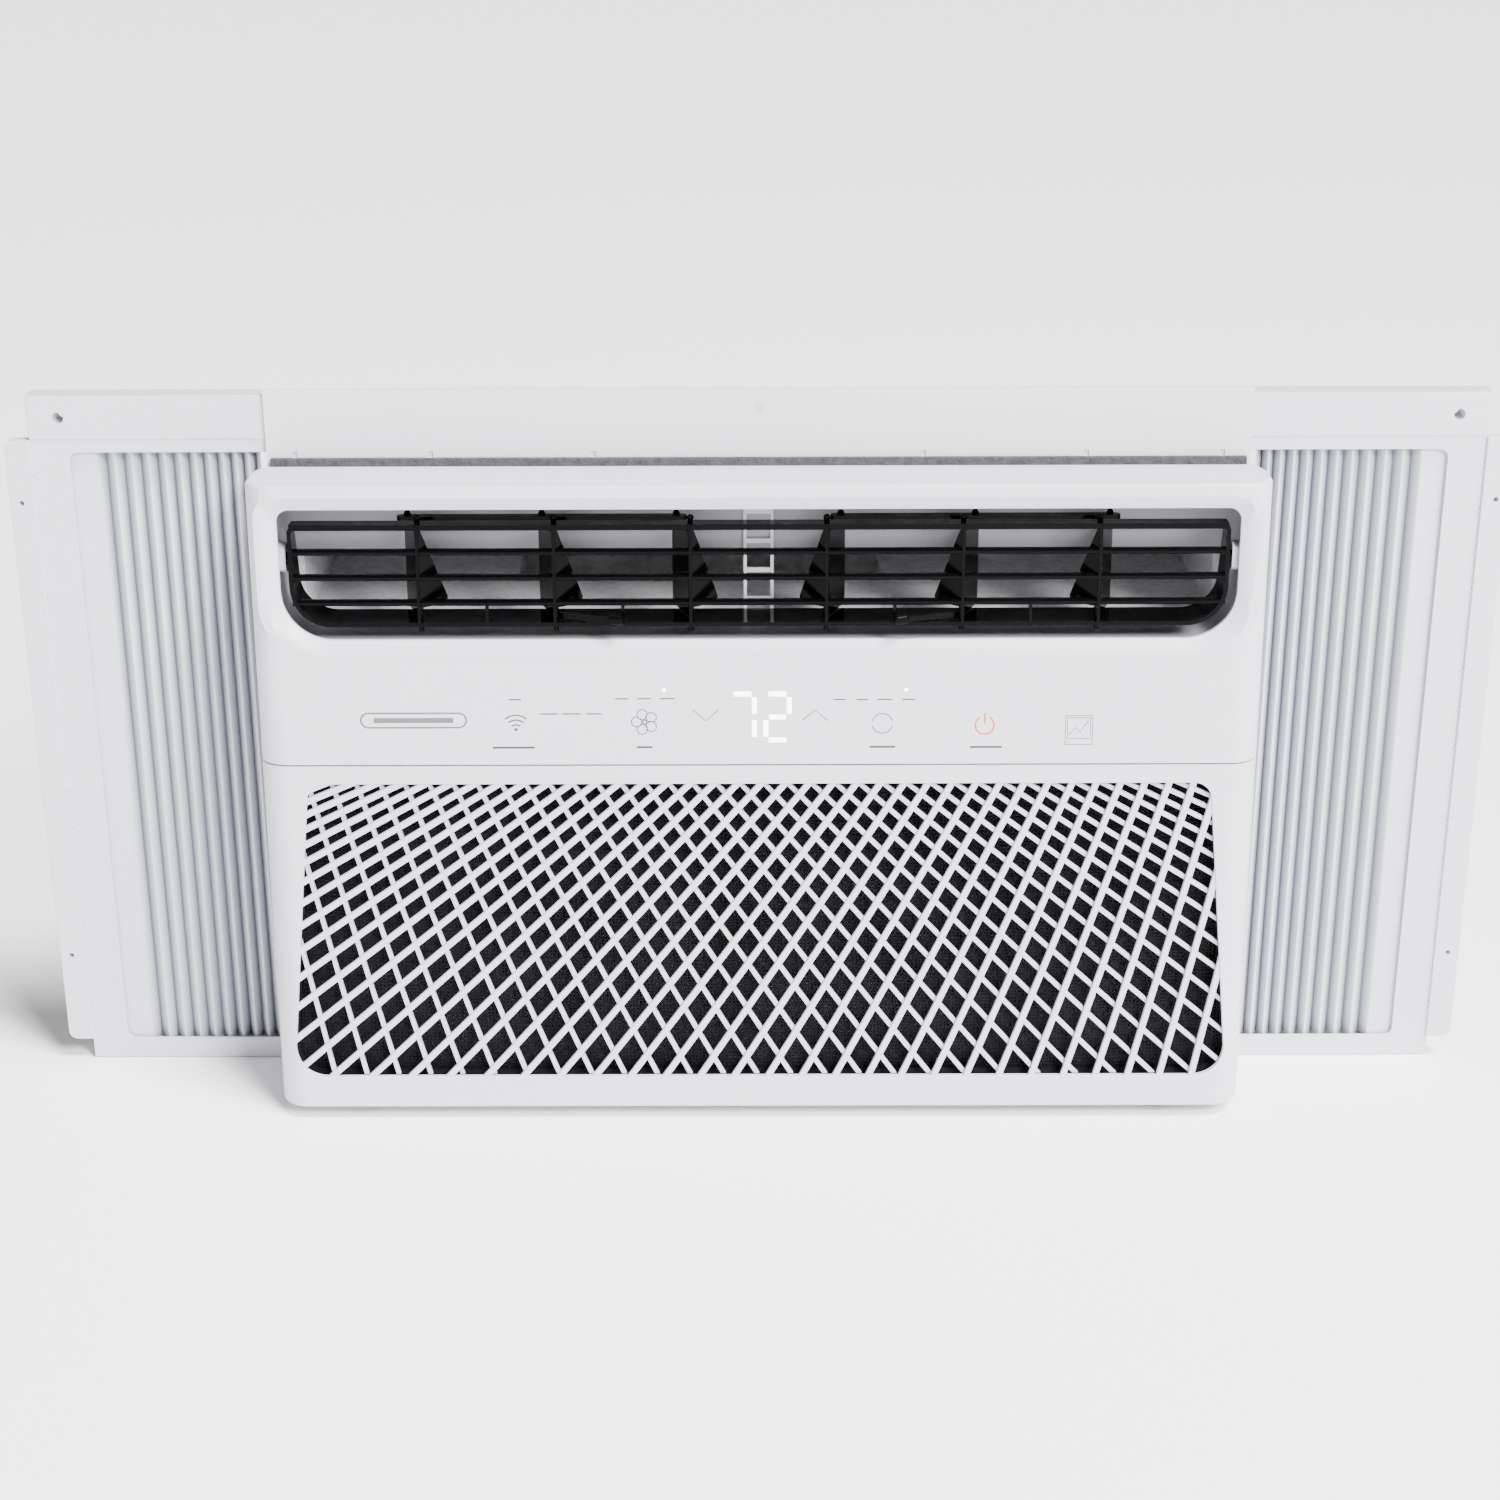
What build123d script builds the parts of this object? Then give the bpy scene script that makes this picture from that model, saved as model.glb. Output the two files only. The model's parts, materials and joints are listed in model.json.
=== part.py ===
"""Window air conditioner: cabinet, cooling set, fans, tilting louver, tilt-out intake grille, sliding side curtains.

X runs to the right seen from the room, Y from the room to outdoors, Z up. The row's origin is the bottom centre.
Pieces are drawn with Y = 0 at the bottom front edge of the face; save() moves them all by half the depth.
The face leans back. Pieces on it are drawn upright as (x, depth behind the face, height up the face), and
on_face() leans them. All sizes are in millimetres.
"""

from build123d import *
from math import asin, atan2, cos, degrees, radians, sin
import os

# ---- Driving dimensions -------------------------------------------------------------------------------------
DEPTH = 345.0                 # front edge of the face to the rear guard
FACE_BOTTOM = 6.2             # height of the face's bottom edge above the base
FACE_W = 482.0
FACE_H = 318.8                # measured up the slope
FACE_SETBACK = 18.9           # how far the top edge lies behind the bottom edge
LEAN = degrees(asin(FACE_SETBACK / FACE_H))
PANEL_REAR = 60.0             # where the plastic front meets the sheet-metal cabinet
PANEL_WALL = 2.6
SEAM = 181.1                  # height up the face of the joint between fascia and intake grille
SEAM_GAP = 0.9

SHELL_W = 470.0
SHELL_FRONT = 62.0
SHELL_REAR = 337.0
SHELL_BOTTOM = 15.0
SHELL_TOP = 284.0
SHEET = 1.0                   # steel sheet
COIL_FRONT = 84.0
CHANNEL_FRONT = 114.0
BULKHEAD = 177.0
MOTOR_Y = 216.0
FAN_Y = 263.0
SHROUD_Y = 280.0
CONDENSER_FRONT = 299.0
CONDENSER_REAR = 332.6

OUTLET_W = 452.0              # air outlet opening in the fascia
OUTLET_BOTTOM = 242.6
OUTLET_TOP = 306.0
DUCT_FLOOR = 241.4
DUCT_CEILING = 311.0
DUCT_W = 457.0

LOUVER_W = 443.0
LOUVER_BOTTOM = 249.0
LOUVER_TOP = 298.6
LOUVER_FRONT = 6.0
LOUVER_AXIS = (12.0, 281.5)   # depth and height up the face
SLAT_HEIGHTS = (260.5, 272.8, 285.1)
RIB_PITCH = 64.3
VANE_DEPTH = 12.0             # vane pivots, behind the face
VANE_TURN = 19.0              # how far the vanes are turned at rest
LINK_ARM = 22.0               # from a vane's pivot to its link pin
PIN_R = 1.2
RUN_CLEARANCE = 0.06

GRILLE_AXIS = (7.0, 7.0)      # tilt-out hinge, depth and height up the face
GRILLE_DEPTH = 22.0
LATTICE_LEVEL = 185.0         # height up the face where the bars are set out
LATTICE_START = 22.3          # bar number 0 crosses that level here, from the lattice's middle
LATTICE_MIDDLE = 1.5
LATTICE_PITCH = 10.86
LATTICE_SPREAD = 0.0156       # the pitch grows a little with the bar's number
LATTICE_ANGLE = 49.85         # slope of bar number 0
LATTICE_FAN = 1.477           # degrees of extra slope from one bar to the next
LATTICE_FIRST = -20
LATTICE_LAST = 23

CURTAIN_FRONT = 65.5
CURTAIN_REAR = 77.5
CURTAIN_TOP = 355.8
CURTAIN_END = 349.4           # ends of the curtain frame's top rail, from the middle
FLANGE_END = 361.4
RAIL_INNER = 126.0            # inner ends of the top and bottom rails at rest
OPENING_END = 331.0
OPENING_LOW = 11.2
OPENING_HIGH = 327.8
PLEATS = 13
BELLOWS_INNER = 239.5

SHAFT_X = -30.0
SHAFT_Z = 152.0
SHAFT_R = 4.0
BLOWER_R = 80.0
AXIAL_R = 122.0

SIDES = {"left": -1, "right": 1}


# ---- Shared helpers -----------------------------------------------------------------------------------------
def block(x0, x1, y0, y1, z0, z1):
    """A box from its lowest to its highest corner."""
    return Pos((x0 + x1) / 2, (y0 + y1) / 2, (z0 + z1) / 2) * Box(x1 - x0, y1 - y0, z1 - z0)


def rod(x, y, z, radius, length, axis="Z"):
    """A cylinder centred on (x, y, z) along X, Y or Z."""
    turns = {"X": Rot(Y=90), "Y": Rot(X=90), "Z": Rot()}
    return Pos(x, y, z) * turns[axis] * Cylinder(radius, length)


def on_face(shape):
    """Leans an upright piece back onto the sloping face."""
    return Pos(0, 0, FACE_BOTTOM) * Rot(X=-LEAN) * shape


def upright(profile, y0, y1):
    """Extrudes an (x, height) outline backwards from depth y0 to y1."""
    return extrude(Pos(0, y1, 0) * Rot(X=90) * profile, y1 - y0)


def outline(points, radii):
    """A closed (x, y) outline with one corner radius for each point."""
    shape = make_face(Polyline(*points, close=True))
    for point, radius in zip(points, radii):
        if radius:
            corner = min(shape.vertices(), key=lambda v: (Vector(v) - Vector(*point)).length)
            shape = fillet(corner, radius)
    return Sketch() + shape


def box_outline(half_w, low, high, low_r, high_r):
    points = [(-half_w, low), (half_w, low), (half_w, high), (-half_w, high)]
    return outline(points, (low_r, low_r, high_r, high_r))


def tube(points, radius, bend):
    """A round pipe through the points, with one bend radius."""
    path = FilletPolyline(*points, radius=bend)
    return sweep(Plane(path @ 0, z_dir=path % 0) * Circle(radius), path=path)


def union(shapes):
    first, *rest = shapes
    return first.fuse(*rest) if rest else first


def save(name, *shapes):
    solids = [solid for shape in shapes for solid in shape.solids()]
    moved = [Pos(0, -DEPTH / 2, 0) * solid for solid in solids]
    piece = moved[0] if len(moved) == 1 else Compound(children=moved)
    piece.label = name
    export_step(piece, f"parts/{name}.step")


# ---- Plastic front ------------------------------------------------------------------------------------------
def front_skin(low, high, depth, inset=0.0):
    """The front's cross-section, round at its front edges and drawn in to the cabinet's width, run up the face."""
    half = FACE_W / 2 - inset
    rear = SHELL_W / 2 - inset
    corner = 15.0 - inset
    straight = 26.0
    at_depth = half - (half - rear) * max(0.0, depth - straight) / (48.0 - straight)
    points = [(-half, inset), (half, inset)]
    radii = [corner, corner]
    if depth > straight:
        points += [(half, straight)]
        radii += [0]
    points += [(at_depth, depth), (-at_depth, depth)]
    radii += [0, 0]
    if depth > straight:
        points += [(-half, straight)]
        radii += [0]
    return Pos(0, 0, low) * extrude(outline(points, radii), high - low)


def trim_rear(shape, y=PANEL_REAR):
    """Cuts a leaned piece off square where it meets the cabinet."""
    return shape & block(-400, 400, -50, y, -50, 500)


def make_front_panel():
    """Upper fascia: face, top and sides, with the soft dish round the air outlet."""
    low = SEAM + SEAM_GAP
    skin = front_skin(low, FACE_H, 60) - front_skin(low - 1, FACE_H - PANEL_WALL, 70, PANEL_WALL)
    front_edges = [e for e in skin.edges() if abs(e.center().Z - FACE_H) < 0.01 and e.center().Y < 12]
    skin = fillet(front_edges, 2.0)
    collar = upright(box_outline(236, 231.5, 314.5, 30, 12), 1.0, 8.0)
    hole = box_outline(OUTLET_W / 2, OUTLET_BOTTOM, OUTLET_TOP, 24, 6)
    dish_outer = Pos(0, -0.01, 0) * Rot(X=90) * box_outline(233.6, 234.2, 312.8, 30, 11)
    dish_inner = Pos(0, 5.5, 0) * Rot(X=90) * hole
    dish = loft([dish_outer.faces()[0], dish_inner.faces()[0]])
    lower_lip = block(-234, 234, PANEL_WALL - 0.2, 7.0, low, low + 2.0)
    return on_face_trimmed(skin + collar + lower_lip - dish - upright(hole, -1, 9))


def on_face_trimmed(shape):
    return trim_rear(on_face(shape))


def make_outlet_duct():
    """Open nozzle behind the outlet, with the two bosses that hold the louver's end pins."""
    half = DUCT_W / 2
    wall = 1.8
    outer = upright(box_outline(half + wall, DUCT_FLOOR - wall, DUCT_CEILING + wall, 20, 6), 8.4, 44)
    inner = upright(box_outline(half, DUCT_FLOOR, DUCT_CEILING, 19, 5), 8, 45)
    rear_wall = block(-half - 0.5, half + 0.5, 42.5, 44, 277, DUCT_CEILING + 0.5)
    duct = (outer - inner) + rear_wall
    depth, height = LOUVER_AXIS
    for side in SIDES.values():
        boss = rod(side * 226.0, depth + 1.5, height, 7.0, 6.0, "X") & block(-230, 230, 8.4, 44, 200, 320)
        duct = duct + boss
        duct = duct - rod(side * 226.5, depth, height, 3.0 + RUN_CLEARANCE, 9.0, "X")
    return on_face(duct)


def make_duct_divider():
    """White ladder that braces the nozzle in the middle, just in front of the air channel."""
    strip = 1.5
    spread = 6.5
    rungs = (253.0, 267.5, 282.0, 296.5)
    legs = [block(s * spread - strip / 2, s * spread + strip / 2, 40.2, 42.3, DUCT_FLOOR, DUCT_CEILING)
            for s in SIDES.values()]
    steps = [block(-spread, spread, 40.4, 42.1, z - 1.1, z + 1.1) for z in rungs]
    return on_face(union(legs + steps))


def make_front_chassis():
    """Fixed inner frame: skins behind the tilt-out grille, the wall round the coil and the shelf under the outlet."""
    start = GRILLE_DEPTH + 0.6
    ring = front_skin(0, SEAM - 0.3, 62) - front_skin(PANEL_WALL, SEAM + 1, 70, PANEL_WALL)
    ring = trim_rear(on_face(ring & block(-300, 300, start, 90, -10, 400)))
    low_wall = front_skin(1, SEAM - 0.3, 62, PANEL_WALL - 0.4)
    high_wall = front_skin(SEAM - 1, 240, 62, PANEL_WALL + 0.5)
    wall = trim_rear(on_face(low_wall + high_wall)) & block(-300, 300, 57.5, 60, 0, 236)
    wall = wall - block(-222, 222, 50, 70, 22, 184)
    shelf = on_face(block(-232, 232, 9, 60, SEAM + 4, SEAM + 6.2)) & block(-300, 300, 0, 58, 0, 400)
    hinge_ears = []
    depth, height = GRILLE_AXIS
    for x in (-200, 200):
        ear = rod(x, depth, height, 4.0, 4.0, "X") + block(x - 2, x + 2, depth, start + 8, height - 4, height + 4)
        ear = ear + block(x - 2, x + 2, start + 0.1, start + 8, 1, height)
        ear = ear - rod(x, depth, height, 2.0 + RUN_CLEARANCE, 10, "X")
        hinge_ears.append(on_face(ear))
    gland_hole = rod(236, 44, 40, 6.95, 12, "X")
    return union([ring, wall, shelf] + hinge_ears) - gland_hole


def make_cord_gland():
    """Flanged rubber bushing in the chassis side where the supply lead enters."""
    bush = rod(234.5, 44, 40, 6.9, 9.0, "X") + rod(230.0, 44, 40, 9.0, 1.8, "X")
    return bush - rod(234.5, 44, 40, 4.2, 20, "X")


def make_control_board():
    """Printed board behind the touch legends, with touch pads and a plug socket."""
    board = block(-140, 180, 5.0, 6.6, 188.5, 222.0)
    pads = [rod(x, 4.3, 205, 5.5, 1.4, "Y") for x in (-114.3, -52.3, -23.1, 28.9, 60.9, 110.6)]
    socket = block(-120, -96, 6.6, 14.0, 190, 197)
    chip = block(70, 84, 6.6, 8.2, 198, 212)
    return on_face(union([board, socket, chip] + pads))


def make_display_module():
    """Two-digit light block between the arrow pads."""
    return on_face(block(-17.5, 22.5, 2.9, 4.9, 192, 220))


# ---- Louver -------------------------------------------------------------------------------------------------
def rib_places():
    return [side * RIB_PITCH * (k + 0.5) for side in SIDES.values() for k in range(3)]


def make_louver_frame():
    """Glossy basket: deep floor, top bar, three slats, ribs with gussets, end pins."""
    wall = 2.0
    half = LOUVER_W / 2
    rim = upright(box_outline(half, LOUVER_BOTTOM, LOUVER_TOP, 19, 4), LOUVER_FRONT, 31)
    rim = rim - upright(box_outline(half - wall, LOUVER_BOTTOM + 2.0, LOUVER_TOP - 2, 17, 3), 0, 40)
    slope = make_face(Polyline((15, LOUVER_TOP + 1), (40, LOUVER_TOP + 1), (40, 252), (31, 252), close=True))
    rim = rim - Pos(-300, 0, 0) * extrude(Plane.YZ * slope, 600)
    top_bar = block(-half + 1, half - 1, LOUVER_FRONT, 15, 295.9, LOUVER_TOP)
    pieces = [top_bar]
    for z in SLAT_HEIGHTS:
        slat = block(-half + 1, half - 1, LOUVER_FRONT + 0.3, LOUVER_FRONT + 4.4, z - 1.5, z + 1.5)
        pieces.append(fillet(slat.edges().filter_by(Axis.X), 1.2))
    for x in rib_places():
        pieces.append(block(x - 0.75, x + 0.75, LOUVER_FRONT - 0.4, 8.2, LOUVER_BOTTOM + 0.5, 297.5))
        inward = -1 if x > 0 else 1
        gusset = make_face(Polyline((0, 258), (0, 296), (1.5, 296), (15.5, 261.5), (15.5, 258), close=True))
        plate = Rot(Z=38.0) * upright(gusset, -0.6, 0.6)
        plate = plate if inward > 0 else mirror(plate, Plane.YZ)
        pieces.append(Pos(x, 7.4, 0) * plate)
    for k in (-2, -1, 1, 2):
        x = k * RIB_PITCH
        pieces.append(block(x - 0.75, x + 0.75, LOUVER_FRONT - 0.4, 8.2, LOUVER_BOTTOM + 0.5, 260))
    for side in SIDES.values():
        depth, height = LOUVER_AXIS
        pieces.append(rod(side * (half + 1.9), depth, height, 3.0, 5.0, "X"))
        pieces.append(rod(side * (half - 1.0), depth, height, 6.0, 2.0, "X"))
    louver = rim.fuse(*pieces)
    for x in rib_places():
        louver = louver - rod(x, VANE_DEPTH, 275, PIN_R + RUN_CLEARANCE, 70)
    return on_face(louver)


def make_vane(x, has_lever):
    """Upright air vane with pivot pins top and bottom, a barbed link pin at its rear, and perhaps a hand lever."""
    side = 1 if x > 0 else -1
    blade = block(-0.7, 0.7, -1.0, 27.0, 252.0, 293.0)
    hub = rod(0, 0, 273.3, 1.4, 42.6)
    top_pin = rod(0, 0, 297.5, PIN_R, 6.2)
    bead = Pos(0, 0, 300.5) * Sphere(1.65)
    low_pin = rod(0, 0, 249.1, PIN_R, 7.0)
    link_pin = rod(0, LINK_ARM, 295.2, PIN_R, 5.2)
    barb = Pos(0, LINK_ARM, 298.9) * Cone(2.0, 0.4, 3.2)
    vane = Rot(Z=-side * VANE_TURN) * union([blade, hub, top_pin, bead, low_pin, link_pin, barb])
    if has_lever:
        reach = 31.0
        forward = 11.0
        turn = degrees(atan2(forward, reach))
        arm = block(0, reach, -1.2, 1.2, 252.1, 254.7)
        pad = Pos(reach, 0, 253.4) * Box(7.2, 4.2, 4.2)
        lever = Rot(Z=-turn) * (arm + fillet(pad.edges(), 1.4))
        lever = lever if side < 0 else mirror(lever, Plane.YZ)
        vane = vane + lever
    return on_face(Pos(x, VANE_DEPTH, 0) * vane)


def link_pin_offset(side):
    """Where a link pin sits from its vane's pivot at rest, across and behind."""
    return side * LINK_ARM * sin(radians(VANE_TURN)), LINK_ARM * cos(radians(VANE_TURN))


def make_link(side):
    """Flat bar that ties the three link pins of one side together."""
    across, behind = link_pin_offset(side)
    y = VANE_DEPTH + behind
    places = [side * RIB_PITCH * (k + 0.5) + across for k in range(3)]
    low, high = min(places) - 5, max(places) + 5
    bar = block(low, high, y - 2.8, y + 2.8, 293.9, 296.9)
    bar = fillet(bar.edges().filter_by(Axis.Z), 2.5)
    for x in places:
        bar = bar - rod(x, y, 298, PIN_R + RUN_CLEARANCE, 10)
    return on_face(bar)


# ---- Intake grille ------------------------------------------------------------------------------------------
def lattice_opening(grow=0.0):
    low, high = 17.1, 172.0
    points = [(-232.5, low), (232.5, low), (217.5, high), (-217.5, high)]
    points = [(x + grow * (1 if x > 0 else -1), z + grow * (1 if z > 100 else -1)) for x, z in points]
    return outline(points, (15 + grow, 15 + grow, 9 + grow, 9 + grow))


def make_grille_cover():
    """Tilt-out cover: face and side returns round the lattice opening, with the hinge pins."""
    cover = front_skin(0, SEAM, GRILLE_DEPTH)
    cover = fillet([e for e in cover.edges() if abs(e.center().Z) < 0.01 and e.center().Y < 12], 2.0)
    cover = cover - front_skin(PANEL_WALL, SEAM - PANEL_WALL, 70, PANEL_WALL)
    cover = cover - upright(lattice_opening(), -1, 10)
    cover = cover - block(-300, 300, 19.9, 30, -1, 12) - block(-235, 235, 14, 30, SEAM - 10, SEAM + 1)
    for x in (-200, 200):
        cover = cover - block(x - 3.4, x + 3.4, 5, 30, -1, 4)
    depth, height = GRILLE_AXIS
    pins = [rod(x, depth, height, 2.0, 12, "X") for x in (-200, 200)]
    lugs = [block(x + s * 6 - 2, x + s * 6 + 2, PANEL_WALL - 0.5, depth + 3, PANEL_WALL - 0.5, height + 3)
            for x in (-200, 200) for s in SIDES.values()]
    return on_face(cover.fuse(*pins, *lugs))


def lattice_bars(direction, width, front, back):
    """One family of slanting bars that fan out from steep to shallow."""
    opening = upright(lattice_opening(), front, back)
    bars = []
    for k in range(LATTICE_FIRST, LATTICE_LAST + 1):
        across = LATTICE_START + LATTICE_PITCH * k + LATTICE_SPREAD * k ** 2
        slope = LATTICE_ANGLE + LATTICE_FAN * k
        bar = Pos(0, (front + back) / 2, 0) * Box(900, back - front, width)
        bar = Pos(LATTICE_MIDDLE + direction * across, 0, LATTICE_LEVEL) * Rot(Y=-direction * slope) * bar
        piece = bar & opening
        bars += [s for s in piece.solids() if s.volume > 20] if piece else []
    return [on_face(bar) for bar in bars]


def make_filter_frame():
    """Rigid rim and cross ribs of the air filter, clipped behind the lattice."""
    rim = upright(lattice_opening(6), 9.0, 13.0) - upright(lattice_opening(0), 8.0, 14.0)
    ribs = [block(x - 1.2, x + 1.2, 10.4, 12.6, 16.5, 172.5) for x in (-150, -75, 0, 75, 150)]
    ribs += [block(-226, 226, 10.4, 12.6, z - 1.2, z + 1.2) for z in (68, 120)]
    return on_face((rim.fuse(*ribs)) & upright(lattice_opening(6), 9.0, 13.0))


def make_filter_mesh():
    return on_face(upright(lattice_opening(4.5), 9.0, 10.0) & upright(lattice_opening(-0.2), 8.0, 12.0))


# ---- Mounting rails and curtains ----------------------------------------------------------------------------
RAIL_W = 471.0
RAIL_FRONT = 63.0
RAIL_TOP = 359.2
SEAL_TOP = 325.6
RAIL_SCREWS = (-200.0, 0.0, 200.0)


def make_top_rail():
    """Folded L-shaped rail across the cabinet top; its upright carries the sash screw hole in the middle."""
    half = RAIL_W / 2
    upright_leg = block(-half, half, RAIL_FRONT, RAIL_FRONT + 1.6, SHELL_TOP, RAIL_TOP)
    foot = block(-half, half, RAIL_FRONT, RAIL_FRONT + 22, SHELL_TOP, SHELL_TOP + 1.6)
    rail = upright_leg + foot
    rail = rail - rod(0, RAIL_FRONT, 350.0, 2.4, 10, "Y")
    for x in (-222, -157, -79, 79, 157, 222):
        rail = rail - block(x - 1.2, x + 1.2, RAIL_FRONT - 1, RAIL_FRONT + 0.8, SEAL_TOP, SEAL_TOP + 3)
    for x in RAIL_SCREWS:
        rail = rail - rod(x, RAIL_FRONT + 15, SHELL_TOP, 2.1, 10)
    return rail


def make_top_seal():
    """Grey foam strip that closes the gap between the plastic front and the rail."""
    half = RAIL_W / 2 - 2
    return block(-half, half, PANEL_REAR + 0.1, RAIL_FRONT - 0.1, SEAL_TOP - 6, SEAL_TOP)


def screw(x, y, z, axis, outward, shank=6.0):
    """Pan-head sheet-metal screw: head outside, shank inside."""
    head = 2.4
    shift = {"X": (1, 0, 0), "Y": (0, 1, 0), "Z": (0, 0, 1)}[axis]
    mid_head = [outward * head / 2 * s for s in shift]
    mid_shank = [-outward * shank / 2 * s for s in shift]
    top = rod(x + mid_head[0], y + mid_head[1], z + mid_head[2], 4.2, head, axis)
    body = rod(x + mid_shank[0], y + mid_shank[1], z + mid_shank[2], 2.0, shank, axis)
    return top + body


def make_curtain_frame(side):
    """Sliding frame of one curtain: top and bottom rails, outer stile and screw flange."""
    front, rear = CURTAIN_FRONT, CURTAIN_REAR
    wall = 1.6
    top = block(RAIL_INNER, CURTAIN_END, front, rear, OPENING_HIGH, CURTAIN_TOP)
    top = top - block(0, CURTAIN_END - wall, front + wall, rear - wall, OPENING_HIGH - 1, CURTAIN_TOP - wall)
    top = fillet(top.edges().filter_by(Axis.Y).sort_by(Axis.X)[-2:].sort_by(Axis.Z)[-1], 0.7)
    low = block(RAIL_INNER, CURTAIN_END, front, rear, 0, OPENING_LOW)
    low = low - block(0, CURTAIN_END - wall, front + wall, rear - wall, wall, OPENING_LOW + 1)
    stile = block(OPENING_END, CURTAIN_END, front, rear, 0, CURTAIN_TOP)
    stile = stile - block(OPENING_END - 1, CURTAIN_END - 3, front + wall, rear - wall, OPENING_LOW, OPENING_HIGH)
    flange = block(CURTAIN_END - 2, FLANGE_END, front + 2.0, front + 4.4, 11.2, 334.2)
    flange = fillet(flange.edges().filter_by(Axis.Y).sort_by(Axis.X)[-2:], 4.5)
    hole = rod(CURTAIN_END - 15.0, front, 345.0, 2.75, 60, "Y")
    frame = top.fuse(low, stile, flange) - hole
    return frame if side > 0 else mirror(frame, Plane.YZ)


def make_bellows(side):
    """Pleated curtain between the cabinet's retainer and the outer stile."""
    outer = CURTAIN_END - 4
    pitch = (outer - BELLOWS_INNER) / (2 * PLEATS)
    wall = 0.9
    near, far = CURTAIN_FRONT + 2.2, CURTAIN_REAR - 2.2
    ridge = [(BELLOWS_INNER + k * pitch, far - wall if k % 2 else near) for k in range(2 * PLEATS + 1)]
    points = ridge + [(x, y + wall) for x, y in reversed(ridge)]
    sheet = extrude(make_face(Polyline(*points, close=True)), OPENING_HIGH - 3 - 14)
    sheet = Pos(0, 0, 14.0) * sheet
    return sheet if side > 0 else mirror(sheet, Plane.YZ)


def make_retainer(side):
    """Channel screwed to the cabinet side that grips the curtain's inner edge."""
    x0 = SHELL_W / 2
    channel = block(x0, x0 + 4.2, CURTAIN_FRONT, CURTAIN_REAR, 16, SHELL_TOP - 1)
    lips = block(x0, x0 + 6.6, CURTAIN_FRONT, CURTAIN_REAR, 16, SHELL_TOP - 1)
    lips = lips - block(x0 + 1.5, x0 + 8, CURTAIN_FRONT + 1.4, CURTAIN_REAR - 1.4, 15, SHELL_TOP)
    piece = (channel - block(x0 + 1.5, x0 + 8, CURTAIN_FRONT + 1.4, CURTAIN_REAR - 1.4, 15, SHELL_TOP)) + lips
    return piece if side > 0 else mirror(piece, Plane.YZ)


def make_bottom_guide():
    """Channel under the front of the base that the curtains' bottom rails slide in."""
    half = 234.0
    roof = block(-half, half, CURTAIN_FRONT - 2.4, CURTAIN_REAR + 2.0, 12.2, 14.0)
    front = block(-half, half, CURTAIN_FRONT - 2.4, CURTAIN_FRONT - 0.6, 2.0, 14.0)
    rear = block(-half, half, CURTAIN_REAR + 0.6, CURTAIN_REAR + 2.4, 0.0, 14.0)
    return roof + front + rear


# ---- Cabinet ------------------------------------------------------------------------------------------------
SCREW_SIDES = [(side * SHELL_W / 2, y, z) for side in SIDES.values() for y in (100, 326) for z in (24, 268)]


def make_base_pan():
    """Pressed steel tray with a raised front step, side rims and a drain hole in the rear wall."""
    half = SHELL_W / 2 - SHEET - 0.1
    floor = block(-half, half, CURTAIN_REAR + 3.0, SHELL_REAR, 0, 1.4)
    step = block(-half, half, CURTAIN_REAR + 3.0, CURTAIN_REAR + 4.4, 0, 16.4)
    shelf = block(-half, half, SHELL_FRONT, CURTAIN_REAR + 4.4, 15.0, 16.4)
    rims = [block(side * half - 0.7 - side * 0.7, side * half + 0.7 - side * 0.7, SHELL_FRONT, SHELL_REAR, 15.0, 30)
            for side in SIDES.values()]
    skirts = [block(side * half - 0.7 - side * 0.7, side * half + 0.7 - side * 0.7, CURTAIN_REAR + 3, SHELL_REAR, 0, 16)
              for side in SIDES.values()]
    rear = block(-half, half, SHELL_REAR - 1.4, SHELL_REAR, 0, 30)
    ribs = [block(x - 5, x + 5, 110, 290, 1.4, 3.4) for x in (-180, -100, 60)]
    pan = floor.fuse(step, shelf, rear, *rims, *skirts, *ribs)
    pan = pan - rod(-150, SHELL_REAR, 8, 5.55, 10, "Y")
    for x, y, z in SCREW_SIDES:
        pan = pan - rod(x, y, z, 2.1, 20, "X")
    return pan


def make_cabinet_shell():
    """Wrap-round steel sleeve with louvred air slots in its sides and top."""
    half = SHELL_W / 2
    outer = block(-half, half, SHELL_FRONT, SHELL_REAR, SHELL_BOTTOM, SHELL_TOP)
    inner = block(-half + SHEET, half - SHEET, SHELL_FRONT - 1, SHELL_REAR + 1, SHELL_BOTTOM - 1, SHELL_TOP - SHEET)
    shell = outer - inner
    slot_w, slot_l, pitch = 3.2, 46.0, 9.0
    slots = []
    for k in range(13):
        y = 190 + k * pitch
        for z in (62, 115, 168, 221):
            slots.append(block(-half - 2, half + 2, y, y + slot_w, z - slot_l / 2, z + slot_l / 2))
    for x in (-150, -75, 75, 150):
        for k in range(10):
            y = 200 + k * pitch
            slots.append(block(x - 26, x + 26, y, y + slot_w, SHELL_TOP - 3, SHELL_TOP + 3))
    for x, y, z in SCREW_SIDES:
        slots.append(rod(x, y, z, 2.1, 12, "X"))
    for x in RAIL_SCREWS:
        slots.append(rod(x, RAIL_FRONT + 15, SHELL_TOP, 2.1, 12))
    return shell.cut(*slots)


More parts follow.
